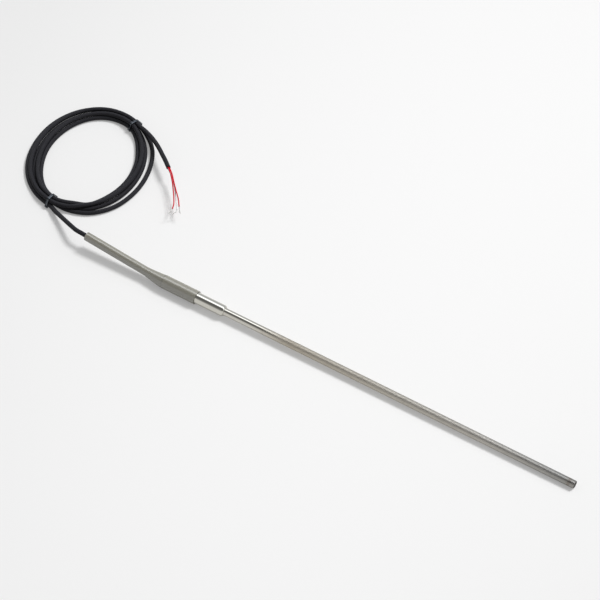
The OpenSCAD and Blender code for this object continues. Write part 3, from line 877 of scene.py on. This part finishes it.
def strand_tree():
    """Geometry nodes: fine strands twisted round a path and fraying towards its end."""
    n, given = new_tree("Bare strands", "GeometryNodeTree", {
        "Geometry": "Geometry", "Strands": "Int", "Strand Radius": "Float", "Bundle Radius": "Float",
        "Twist": "Float", "Fray": "Float", "Seed": "Int", "Material": "Material"})
    path = n.first("GeometryNodeMeshToCurve", {"Mesh": given["Geometry"]})
    path = n.first("GeometryNodeResampleCurve", {"Curve": path, "Count": 16})
    copies = n.put("GeometryNodeDuplicateElements", {
        "Geometry": path, "Amount": given["Strands"]}, domain="SPLINE")
    index = copies["Duplicate Index"]
    share = n.put("GeometryNodeSplineParameter")["Factor"]
    # each strand has its own place in the bundle, and turns round its middle
    turn = n.add(n.times(index, GOLDEN_ANGLE), share, given["Twist"])
    spread = n.maths("SQRT", n.maths("DIVIDE", n.add(index, 0.5), given["Strands"]))
    reach = n.times(spread, given["Bundle Radius"])
    normal, tangent = n.first("GeometryNodeInputNormal"), n.first("GeometryNodeInputTangent")
    across = n.vector("CROSS_PRODUCT", tangent, normal)
    ring = n.vector(
        "ADD", *(n.vector("SCALE", way, n.times(n.maths(wave, turn), reach))
                 for way, wave in ((normal, "COSINE"), (across, "SINE"))))
    stray = n.first("FunctionNodeRandomValue", {
        "Min": (-1, -1, -0.6), "Max": (1, 1, 0.6), "ID": index, "Seed": given["Seed"],
    }, data_type="FLOAT_VECTOR")
    fray = n.vector("SCALE", stray, n.times(n.times(share, share), given["Fray"]))
    moved = n.first("GeometryNodeSetPosition", {
        "Geometry": copies["Geometry"], "Offset": n.vector("ADD", ring, fray)})
    outline = n.first("GeometryNodeCurvePrimitiveCircle", {
        "Resolution": 6, "Radius": given["Strand Radius"]})
    solid = n.first("GeometryNodeCurveToMesh", {
        "Curve": moved, "Profile Curve": outline, "Fill Caps": True})
    return end_growth(n, solid, given["Material"])


def grown(name, tree, points, values, material, edge=35):
    """Runs a geometry nodes tree on a path and keeps the result as a plain mesh."""
    mesh = bpy.data.meshes.new(name + "_path")
    mesh.from_pydata(points, [(i, i + 1) for i in range(len(points) - 1)], [])
    host = bpy.data.objects.new(name + "_path", mesh)
    modifier = host.modifiers.new("Growth", "NODES")
    modifier.node_group = tree
    for socket in tree.interface.items_tree:
        if socket.in_out == "INPUT" and socket.name in values:
            modifier[socket.identifier] = values[socket.name]
    bpy.context.scene.collection.objects.link(host)
    bpy.context.view_layer.update()
    seen = host.evaluated_get(bpy.context.evaluated_depsgraph_get())
    plain = bpy.data.meshes.new_from_object(seen)
    bpy.data.objects.remove(host)
    plain.name = name
    plain.materials.clear()
    return new_object(name, plain, material, edge)


def make_core(name, cable, line, material):
    """One insulated core with a square-cut end."""
    r, bare = cable.core_diameter / 2, cable.strand_diameter / 2
    end = [(0.04 * MM, r - 0.06 * MM), (0.04 * MM, bare + 0.12 * MM), (-0.5 * MM, bare + 0.1 * MM)]
    return tube(name, line, r, CORE_SIDES, end, material)


# ---------------------------------------------------------------- cable ties


def band_path(corners, reach, steps):
    """Offset outline round corners given anticlockwise, as (point, outward) pairs."""
    path = []
    count = len(corners)
    for i, c in enumerate(corners):
        before, after = corners[i - 1], corners[(i + 1) % count]
        start = math.atan2(-(c[0] - before[0]), c[1] - before[1])
        stop = math.atan2(-(after[0] - c[0]), after[1] - c[1])
        if stop < start:
            stop += 2 * math.pi
        for k in range(steps + 1):
            a = start + (stop - start) * k / steps
            out = (math.cos(a), math.sin(a))
            path.append(((c[0] + out[0] * reach, c[1] + out[1] * reach), out))
        ahead = (math.cos(stop), math.sin(stop))
        for k in range(1, 4):
            t = k / 4
            x = c[0] + (after[0] - c[0]) * t + ahead[0] * reach
            y = c[1] + (after[1] - c[1]) * t + ahead[1] * reach
            path.append(((x, y), ahead))
    return path


def tooth_tree():
    """Geometry nodes: a row of small teeth along a path, square to the bundle."""
    n, given = new_tree("Strap teeth", "GeometryNodeTree", {
        "Geometry": "Geometry", "Spacing": "Float", "Tooth Length": "Float", "Tooth Height": "Float",
        "Tooth Width": "Float", "Bundle Way": "Vector", "Material": "Material"})
    path = n.first("GeometryNodeMeshToCurve", {"Mesh": given["Geometry"]})
    spots = n.put("GeometryNodeCurveToPoints", {"Curve": path, "Length": given["Spacing"]}, mode="LENGTH")
    size = n.merge(given["Tooth Length"], given["Tooth Height"], given["Tooth Width"])
    tooth = n.put("GeometryNodeMeshCube", {"Size": size})["Mesh"]
    turn = n.first("FunctionNodeAlignEulerToVector", {"Vector": given["Bundle Way"]}, axis="Z")
    turn = n.first("FunctionNodeAlignEulerToVector", {
        "Rotation": turn, "Vector": spots["Tangent"]}, axis="X", pivot_axis="Z")
    row = n.first("GeometryNodeInstanceOnPoints", {
        "Points": spots["Points"], "Instance": tooth, "Rotation": turn})
    return end_growth(n, row, given["Material"])


# the head, in mm: from and to along its depth, half its width, rounding, and height;
# round the outside, then down through the window
HEAD = (
    (-0.6, 0.65, 1.5, 0.3, -1.8), (-0.7, 0.8, 1.7, 0.4, -1.6), (-0.7, 0.8, 1.7, 0.4, 0.5),
    (-0.6, 0.65, 1.5, 0.3, 0.8), (-0.2, 0.62, 1.3, 0.1, 0.8), (-0.15, 0.55, 1.18, 0.08, 0.5),
    (-0.15, 0.55, 1.18, 0.08, -1.6), (-0.2, 0.6, 1.28, 0.1, -1.8),
)
HEAD_LEAN = math.radians(-16)
# the trimmed end, in mm: its outline across the strap, and the heights of its rings
STUB = ((-1.1, -0.1), (1.1, -0.1), (1.1, 0.5), (0.7, 0.5), (0.62, 0.3), (-0.62, 0.3), (-0.7, 0.5),
        (-1.1, 0.5))
STUB_HEIGHTS = (-1.6, 1.05, 1.12)


def make_tie(name, degrees, probe, cable, material, teeth):
    """A cable tie: strap with two rails and a toothed channel, head with its window, and
    the trimmed end of the strap."""
    coil = CoilLayout(probe, cable)
    base = coil.radius + coil.under
    p, lv = coil.pitch, coil.level
    corners = [(-p, base), (p, base), (p / 2, base + lv), (-p / 2, base + lv)]
    inner = coil.radius + STRAP_GAP
    t, w = cable.strap_thickness, cable.strap_width / 2
    middle, out, way = coil.middle(degrees), coil.outward(degrees), coil.onward(degrees)

    def at(x, y, along=0.0):
        return middle + out * x + UP * y + way * along

    rail = w * 0.32
    half = [(w * 0.9, 0), (w, 0.12 * t), (w, 0.86 * t), (w - 0.12 * MM, t), (w - rail, t),
            (w - rail - 0.05 * MM, 0.6 * t)]
    section = [(-w, 0.12 * t), (-w * 0.9, 0), *half, *((-s, h) for s, h in half[:1:-1])]
    path = band_path(corners, inner, 10)
    rings = [[at(q[0] + o[0] * h, q[1] + o[1] * h, s) for s, h in section] for q, o in path]
    along = [i * 0.5 * MM for i in range(len(rings))]
    strap = skin(name, rings, along, material, looped=True)

    # the teeth stand in the channel all round the strap, on its flat and curved stretches
    channel = [at(q[0] + o[0] * 0.66 * t, q[1] + o[1] * 0.66 * t) for q, o in path]
    row = grown(name + "_teeth", teeth, channel, {
        "Spacing": cable.tooth_spacing, "Tooth Length": cable.tooth_spacing * 0.45, "Tooth Height": 0.3 * t,
        "Tooth Width": (w - rail) * 1.9, "Bundle Way": tuple(way), "Material": material}, material)

    # the head sits low on the outer strand
    ct, st = math.cos(HEAD_LEAN), math.sin(HEAD_LEAN)
    fx, fy = p + ct * (inner + t), base + st * (inner + t)

    def on_head(a, b, along):
        """a leaves the face, b runs up it."""
        return at(fx + a * ct - b * st, fy + a * st + b * ct, along)

    def boxed(a0, a1, half, bevel, b):
        """A rounded rectangle across the head at height b."""
        ring = []
        for ca, cs, start in ((a1 - bevel, half - bevel, 0), (a0 + bevel, half - bevel, 90),
                              (a0 + bevel, -half + bevel, 180), (a1 - bevel, -half + bevel, 270)):
            for k in range(4):
                g = math.radians(start + 30 * k)
                ring.append(on_head(ca + math.cos(g) * bevel, b, cs + math.sin(g) * bevel))
        return ring

    shell = [boxed(*(size * MM for size in sizes)) for sizes in HEAD]
    head = skin(name + "_head", shell, [i * MM for i in range(len(shell))], material, looped=True)
    head.data.flip_normals()  # its rings also run clockwise

    # the trimmed end of the strap just clears the window, cut at a slant
    stub_rings = [[on_head(h * MM, (b + (0.06 * s if b > 0 else 0)) * MM, s * MM) for s, h in STUB]
                  for b in STUB_HEIGHTS]
    poles = [[sum(ring, Vector()) / len(ring)] for ring in (stub_rings[0], stub_rings[-1])]
    stub = skin(name + "_end", [poles[0], *stub_rings, poles[1]], [0, 0, 0.003, 0.0031, 0.0032], material)
    return joined(name, [strap, row, head, stub])


# ---------------------------------------------------------------- rigid pieces


def make_sheath(probe, paint):
    """Ground tube with its welded and rounded closing plug."""
    r, wall, rnd, far = probe.sheath_diameter / 2, probe.sheath_wall, probe.tip_round, probe.sheath_length
    seat = r - 0.2 * MM
    profile = [(-probe.seat_depth, seat), (-0.4 * MM, seat), (-0.4 * MM, r - 0.02 * MM), (-0.3 * MM, r)]
    profile += [(far * k / 48, r) for k in range(1, 48)]
    # the weld's shallow groove, the rounded edge and the slightly hollow end face
    profile += [(far - back * MM, r - deep * MM)
                for back, deep in ((2.0, 0), (1.72, 0.035), (1.6, 0.045), (1.45, 0.02))]
    profile += arc(far - rnd, r - rnd, rnd, 90, 6, 10)
    profile += [(far - 0.02 * MM, r - rnd * 1.25), (far - 0.05 * MM, r * 0.45), (far - 0.09 * MM, r * 0.2),
                (far - 0.1 * MM, 0)]
    plug = far - 6 * MM
    inner = [(plug, 0), (plug, r - wall), (-probe.seat_depth, r - wall)]
    place = probe_place(probe)
    shell = turned("sheath", place, [(-probe.seat_depth, r - wall)] + profile, sheath_steel(paint, probe))
    lining = turned("sheath_bore", place, inner, shell.data.materials[0])
    whole = joined("sheath", [shell, lining])
    return outward_faces(whole)


def make_sleeve(probe, paint):
    """Mirror polished transition sleeve with its rounded shoulder."""
    r, sheath_r = probe.sleeve_diameter / 2, probe.sheath_diameter / 2
    seat = sheath_r - 0.19 * MM
    back = -probe.sleeve_front - probe.sleeve_back
    rnd = probe.shoulder_round
    profile = [(back, r - 0.9 * MM), (back, r - 0.2 * MM), (back + 0.2 * MM, r)]
    profile += [(back * (1 - k / 24), r) for k in range(1, 23)]
    drop = r - sheath_r - 0.06 * MM
    for k in range(21):
        u = k / 20
        profile.append((-rnd * (1 - u), r - drop * (0.75 * (1 - math.sqrt(1 - u * u)) + 0.25 * ease(u))))
    profile += [(-0.05 * MM, sheath_r + 0.015 * MM), (-0.4 * MM, sheath_r + 0.01 * MM), (-0.4 * MM, seat),
                (-probe.seat_depth, seat), (-probe.seat_depth, r - 0.9 * MM)]
    sleeve = turned("polished_sleeve", probe_place(probe), profile, sleeve_steel(paint), looped=True)
    return outward_faces(sleeve)


def make_boot(probe, paint):
    """Shrink boot: follows the sleeve, creases over its end, necks down and leans away."""
    big = probe.sleeve_diameter / 2 + probe.boot_wall
    neck = probe.neck_diameter / 2
    wall = probe.boot_wall
    grip = probe.sleeve_back
    total = grip + probe.boot_cone + probe.neck_length
    front = -probe.sleeve_front
    way = neck_way(probe)
    lean = way - Vector((-1, 0, 0))

    def centre(s):
        """The boot's middle line, bending softly at the end of the sleeve."""
        past = s - grip
        soft = 2 * MM
        if past <= -soft:
            slide = 0.0
        elif past >= soft:
            slide = past
        else:
            slide = (past + soft) ** 2 / (4 * soft)
        return Vector((front - s, 0, 0)) + lean * slide

    def outer(s, a):
        """The outside radius there."""
        past = s - probe.fold_place
        # a short step at the fold, then a straight cone down to the neck
        t = min(max((past - 0.3 * MM) / (probe.fold_cone - 0.3 * MM), 0.0), 1.0)
        r = big - 0.16 * MM * ease((past + 0.3 * MM) / (0.6 * MM)) * (1 - t)
        r += (neck - big) * (0.8 * t + 0.2 * ease(t))
        # faint unevenness left by shrinking
        r += 0.02 * MM * math.sin(s * 310 + 1.3) * ease((s - 2 * MM) / (6 * MM))
        r += 0.02 * MM * math.cos(2 * a + s * 55) + 0.012 * MM * math.cos(3 * a - s * 130)
        fold = math.exp(-((past - 5 * MM) / (5 * MM)) ** 2)
        return r + 0.03 * MM * fold * math.cos(7 * a + 0.6)

    place = probe_place(probe)
    # rings close together at both edges and at the fold
    step = 1.2 * MM
    stations = [k * MM for k in (0.0, 0.05, 0.12, 0.25, 0.5, 1.0)]
    stations += [k * step for k in range(2, int((total - 1.6 * MM) / step))]
    stations = [s for s in stations if abs(s - probe.fold_place) > 0.8 * MM]
    stations = sorted(stations + [probe.fold_place + k * 0.15 * MM for k in range(-5, 6)])
    stations += [total - k * MM for k in (1.2, 0.7, 0.35, 0.15, 0.05, 0.0)]
    rings, along = [], []

    def cut(s, radius):
        """A ring square to the middle line."""
        here, ahead = centre(s), centre(s + 0.5 * MM)
        forward = (place.to_3x3() @ (ahead - here)).normalized()
        side = forward.cross(UP).normalized()
        return circle(place @ here, side, side.cross(forward), radius, BOOT_SIDES)

    lip = 0.3 * MM
    for s in stations:
        edge = min(s, total - s)
        lose = lip - math.sqrt(max(lip**2 - (lip - edge) ** 2, 0.0)) if edge < lip else 0.0
        rings.append(cut(s, lambda a, s=s, lose=lose: outer(s, a) - lose))
        along.append(s)
    inside = [total - 0.02 * MM, total - 0.2 * MM, total - 1.2 * MM]
    inside += [total - k * 4 * MM for k in range(1, int(total / (4 * MM)))] + [MM, 0.02 * MM]
    for s in inside:
        if s <= grip:
            r = big - wall + 0.03 * MM
        else:
            r = min(max(outer(s, 0) - wall, neck - wall), big - wall - 0.4 * MM)
        if s > total - 0.1 * MM:
            r += 0.15 * MM
        rings.append(cut(s, r))
        along.append(s)
    boot = skin("shrink_boot", rings, along, boot_plastic(paint, probe), looped=True, edge=50)
    return outward_faces(boot)


# ---------------------------------------------------------------- stage

# what reflections see: degrees from straight up towards the back, and tone
SKY = [
    (-180, 0.222), (-66, 0.222), (-46, 0.08), (-30, 0.043), (-8, 0.04), (7, (0.095, 0.1, 0.106)),
    (16, (0.58, 0.59, 0.61)), (25, (0.715, 0.73, 0.75)), (34, (0.4, 0.415, 0.43)), (44, (0.215, 0.22, 0.23)),
    (58, (0.155, 0.16, 0.17)), (180, (0.155, 0.16, 0.17)),
]
SKY_LEVEL = 4.2
BACKDROP = 0.93
# the way on the floor, X and Y, along which its painted light gradient runs
FLOOR_WAY = (0.854, 0.521)
TOWARD_LIGHT = Vector((0.36, 0.62, 1.0))
KEY_SPREAD, WIDE_SPREAD = 16, 58


def studio_world(stage):
    """Even fill for the surfaces; in reflections, a long soft box behind the probe, a
    darker ceiling, and pale walls."""
    world = bpy.data.worlds.new("Studio")
    bpy.context.scene.world = world
    world.use_nodes = True
    n = Nodes(world.node_tree)
    way = n.split(n.put("ShaderNodeTexCoord")["Generated"])
    tilt = n.spread(n.maths("ARCTAN2", way["Y"], way["Z"]), -math.pi, math.pi)
    seen = n.ramp(tilt, [((degrees + 180) / 360, tone) for degrees, tone in SKY])
    lit = n.blend(n.rays("Is Glossy Ray"), (stage.fill,) * 3, n.tinted(seen, (SKY_LEVEL,) * 3))
    shown = n.rays("Is Camera Ray", "Is Transmission Ray")
    n.feed(n.tree.nodes["Background"].inputs["Color"], n.blend(shown, lit, (BACKDROP,) * 3))


def floor_finish(stage):
    """Pale floor with painted light: its tone shifts a little across it and falls off from the middle, as the
    studio light would; it glows only for the camera and in reflections, so it lights nothing."""
    m = Finish("Studio floor", {"Roughness": 0.9, "Specular IOR Level": 0.0})
    spot = m.split(m.place)
    c, s = FLOOR_WAY
    right = m.add(m.times(spot["X"], c), spot["Y"], s)
    deep = m.add(m.times(spot["Y"], c), spot["X"], -s)
    painted_light_drift = m.spread(m.times(right, m.add(deep, 0.35)), -0.25, 0.25)
    across, back = m.add(right, -0.05), m.add(-0.146, deep, 0.77)
    far = m.add(m.times(across, across), m.times(back, back))
    # painted light: the tone shifts across the floor and falls off away from the middle
    tone = m.tinted(m.mottled(painted_light_drift, stage.floor, 0.945, 1.055), m.spread(far, 0.0, 0.25, 1.0, 0.925))
    m.feed(m.shader["Base Color"], tone)
    m.feed(m.shader["Emission Color"], tone)
    shown = m.rays("Is Camera Ray", "Is Transmission Ray", "Is Glossy Ray")
    m.feed(m.shader["Emission Strength"], m.times(shown, stage.glow))
    return m.material


def make_stage(stage):
    """Camera, floor, key light and world."""
    scene = bpy.context.scene
    data = bpy.data.cameras.new("Camera")
    data.angle = stage.field
    data.clip_end = 20
    camera = bpy.data.objects.new("Camera", data)
    camera.location = stage.camera_place
    aim = Vector(stage.camera_target) - Vector(stage.camera_place)
    camera.rotation_euler = aim.to_track_quat("-Z", "Y").to_euler()
    scene.collection.objects.link(camera)
    scene.camera = camera
    scene.view_settings.view_transform = "Standard"

    mesh = bpy.data.meshes.new("floor")
    mesh.from_pydata([(-4, -4, 0), (4, -4, 0), (4, 4, 0), (-4, 4, 0)], [], [(0, 1, 2, 3)])
    floor = bpy.data.objects.new("floor", mesh)
    scene.collection.objects.link(floor)
    mesh.materials.append(floor_finish(stage))

    lights = (("Key light", stage.key, KEY_SPREAD), ("Wide light", stage.wide, WIDE_SPREAD))
    for name, energy, spread in lights:
        lamp = bpy.data.lights.new(name, "SUN")
        lamp.energy = energy
        lamp.angle = math.radians(spread)
        sun = bpy.data.objects.new(name, lamp)
        sun.rotation_euler = (-TOWARD_LIGHT).to_track_quat("-Z", "Y").to_euler()
        sun.visible_glossy = False
        scene.collection.objects.link(sun)
    studio_world(stage)


# ---------------------------------------------------------------- operators


def settings(context):
    """Sizes of the probe and of the cable, and the colours."""
    scene = context.scene
    return scene.thermo_probe, scene.thermo_cable, scene.thermo_finish


class PROBE_OT_stage(bpy.types.Operator):
    """Set the camera, floor, key light and world"""

    bl_idname = "thermometer.stage"
    bl_label = "Stage"

    def execute(self, context):
        make_stage(context.scene.thermo_stage)
        return {"FINISHED"}


class PROBE_OT_cable(bpy.types.Operator):
    """Build the cable with its coil and both cable ties"""

    bl_idname = "thermometer.cable"
    bl_label = "Cable and ties"

    def execute(self, context):
        probe, cable, paint = settings(context)
        piece, line = make_cable(probe, cable, paint)
        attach(piece, "root")
        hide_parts("cable_lead", "cable_coil", "cable_tail")
        nylon, teeth = tie_nylon(paint), tooth_tree()
        for name, degrees in STRAPS:
            tie = make_tie("tie_" + name, degrees, probe, cable, nylon, teeth)
            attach(tie, "root")
            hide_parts("cable_tie_" + name)
        return {"FINISHED"}


STRAND_RADIUS = 0.085 * MM
# how far the strands of each bare end stray
FRAY = (0.25 * MM, 1.1 * MM, 0.25 * MM)


class PROBE_OT_cores(bpy.types.Operator):
    """Build the three stripped cores with their bare strands"""

    bl_idname = "thermometer.cores"
    bl_label = "Stripped cores"

    def execute(self, context):
        probe, cable, paint = settings(context)
        line = CoilLayout(probe, cable).route()
        end, way = line[-1], (line[-1] - line[-2]).normalized()
        red = core_plastic("Red core insulation", tuple(paint.red), 0.36)
        white = core_plastic("White core insulation", tuple(paint.white), 0.4)
        metal, tree = strand_metal(paint), strand_tree()
        names = (("red_left", "left_red"), ("red_right", "right_red"), ("white", "white"))
        for i, (name, label) in enumerate(names):
            route, bare = core_route(name, cable, end, way)
            core = make_core(label + "_wire", cable, route, white if name == "white" else red)
            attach(core, "root")
            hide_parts("core_" + name)
            strands = grown(label + "_bare_end", tree, smooth_route(bare, STRAND_STEP), {
                "Strands": cable.strands, "Strand Radius": STRAND_RADIUS,
                "Bundle Radius": cable.strand_diameter / 2 - 0.06 * MM, "Twist": 2.5,
                "Fray": FRAY[i], "Seed": 11 + i, "Material": metal}, metal, 60)
            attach(strands, "root")
            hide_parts("strands_" + name)
        return {"FINISHED"}


class PROBE_OT_sheath(bpy.types.Operator):
    """Build the ground steel sheath with its rounded tip"""

    bl_idname = "thermometer.sheath"
    bl_label = "Sheath"

    def execute(self, context):
        piece = make_sheath(context.scene.thermo_probe, context.scene.thermo_finish)
        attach(piece, "root")
        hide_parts("sheath_tube", "end_plug")
        return {"FINISHED"}


class PROBE_OT_sleeve(bpy.types.Operator):
    """Build the mirror polished transition sleeve"""

    bl_idname = "thermometer.sleeve"
    bl_label = "Transition sleeve"

    def execute(self, context):
        piece = make_sleeve(context.scene.thermo_probe, context.scene.thermo_finish)
        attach(piece, "root")
        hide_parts("transition_sleeve")
        return {"FINISHED"}


class PROBE_OT_boot(bpy.types.Operator):
    """Build the shrink boot"""

    bl_idname = "thermometer.boot"
    bl_label = "Shrink boot"

    def execute(self, context):
        piece = make_boot(context.scene.thermo_probe, context.scene.thermo_finish)
        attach(piece, "root")
        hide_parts("heat_shrink_boot")
        return {"FINISHED"}


# finishes inside the probe: name, colour, roughness, metallic, grain scale, contrast, and
# how the names of their nodes begin
INNER = [
    ("Fired ceramic", (0.84, 0.82, 0.76), 0.6, 0.0, 2500, 0.05, ("rtd_element",)),
    ("Packed oxide", (0.78, 0.77, 0.73), 0.85, 0.0, 1800, 0.12, ("thermal_fill",)),
    ("Bare lead", (0.7, 0.69, 0.66), 0.3, 1.0, 3000, 0.06, ("element_lead",)),
    ("Tinned crimp", (0.66, 0.64, 0.6), 0.35, 1.0, 2600, 0.08, ("lead_crimp", "splice_crimp")),
    ("Tinned conductor", (0.6, 0.57, 0.53), 0.4, 1.0, 3000, 0.1, ("inner_conductor", "entry_conductor")),
    ("Splice cover", (0.02, 0.02, 0.021), 0.42, 0.0, 2400, 0.2, ("splice_cover",)),
    ("Potting resin", (0.045, 0.038, 0.034), 0.3, 0.0, 900, 0.25, ("potting",)),
    ("Hot melt", (0.05, 0.045, 0.04), 0.38, 0.0, 1200, 0.25, ("adhesive_liner",)),
    ("Inner jacket", (0.017, 0.017, 0.019), 0.45, 0.0, 3000, 0.2, ("cable_entry",)),
]


class PROBE_OT_inner(bpy.types.Operator):
    """Give the parts inside the probe their finishes"""

    bl_idname = "thermometer.inner"
    bl_label = "Inner parts"

    def execute(self, context):
        paint = context.scene.thermo_finish
        kinds = [(starts, inner_finish(*values)) for *values, starts in INNER]
        for tone in ("red", "white"):
            made = inner_finish(f"Inner {tone} core", getattr(paint, tone), 0.4, 0.0, 3000, 0.07)
            kinds.append((("inner_wire_" + tone, "entry_core_" + tone), made))
        steel = inner_finish("Inner steel", paint.sheath, 0.3, 1.0, 2600, 0.05)
        for name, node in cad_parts.items():
            found = [made for starts, made in kinds if name.startswith(starts)]
            made = found[0] if found else steel
            if not node.material_slots:
                node.data.materials.append(made)
            for slot in node.material_slots:
                slot.material = made
        return {"FINISHED"}


OPERATORS = (PROBE_OT_stage, PROBE_OT_cable, PROBE_OT_cores, PROBE_OT_sheath, PROBE_OT_sleeve,
             PROBE_OT_boot, PROBE_OT_inner)


class PROBE_PT_panel(bpy.types.Panel):
    """Lists the steps and the settings"""

    bl_label = "Thermometer"
    bl_idname = "PROBE_PT_panel"
    bl_space_type = "VIEW_3D"
    bl_region_type = "UI"
    bl_category = "Thermometer"

    def draw(self, context):
        for operator in OPERATORS:
            self.layout.operator(operator.bl_idname)
        for owner in ("thermo_probe", "thermo_cable", "thermo_finish", "thermo_stage"):
            box = self.layout.box()
            settings = getattr(context.scene, owner)
            for key in settings.bl_rna.properties.keys():
                if key not in ("rna_type", "name"):
                    box.prop(settings, key)


GROUPS = {"thermo_probe": ProbeSettings, "thermo_cable": CableSettings,
          "thermo_finish": FinishSettings, "thermo_stage": StageSettings}


def register():
    for kind in (*GROUPS.values(), *OPERATORS, PROBE_PT_panel):
        bpy.utils.register_class(kind)
    for name, kind in GROUPS.items():
        setattr(bpy.types.Scene, name, PointerProperty(type=kind))


def unregister():
    for name in GROUPS:
        delattr(bpy.types.Scene, name)
    for kind in (PROBE_PT_panel, *reversed(OPERATORS), *reversed(list(GROUPS.values()))):
        bpy.utils.unregister_class(kind)


def main():
    """Builds everything in order."""
    register()
    bpy.ops.thermometer.stage()
    bpy.ops.thermometer.cable()
    bpy.ops.thermometer.cores()
    bpy.ops.thermometer.sheath()
    bpy.ops.thermometer.sleeve()
    bpy.ops.thermometer.boot()
    bpy.ops.thermometer.inner()


if __name__ == "__main__":
    main()
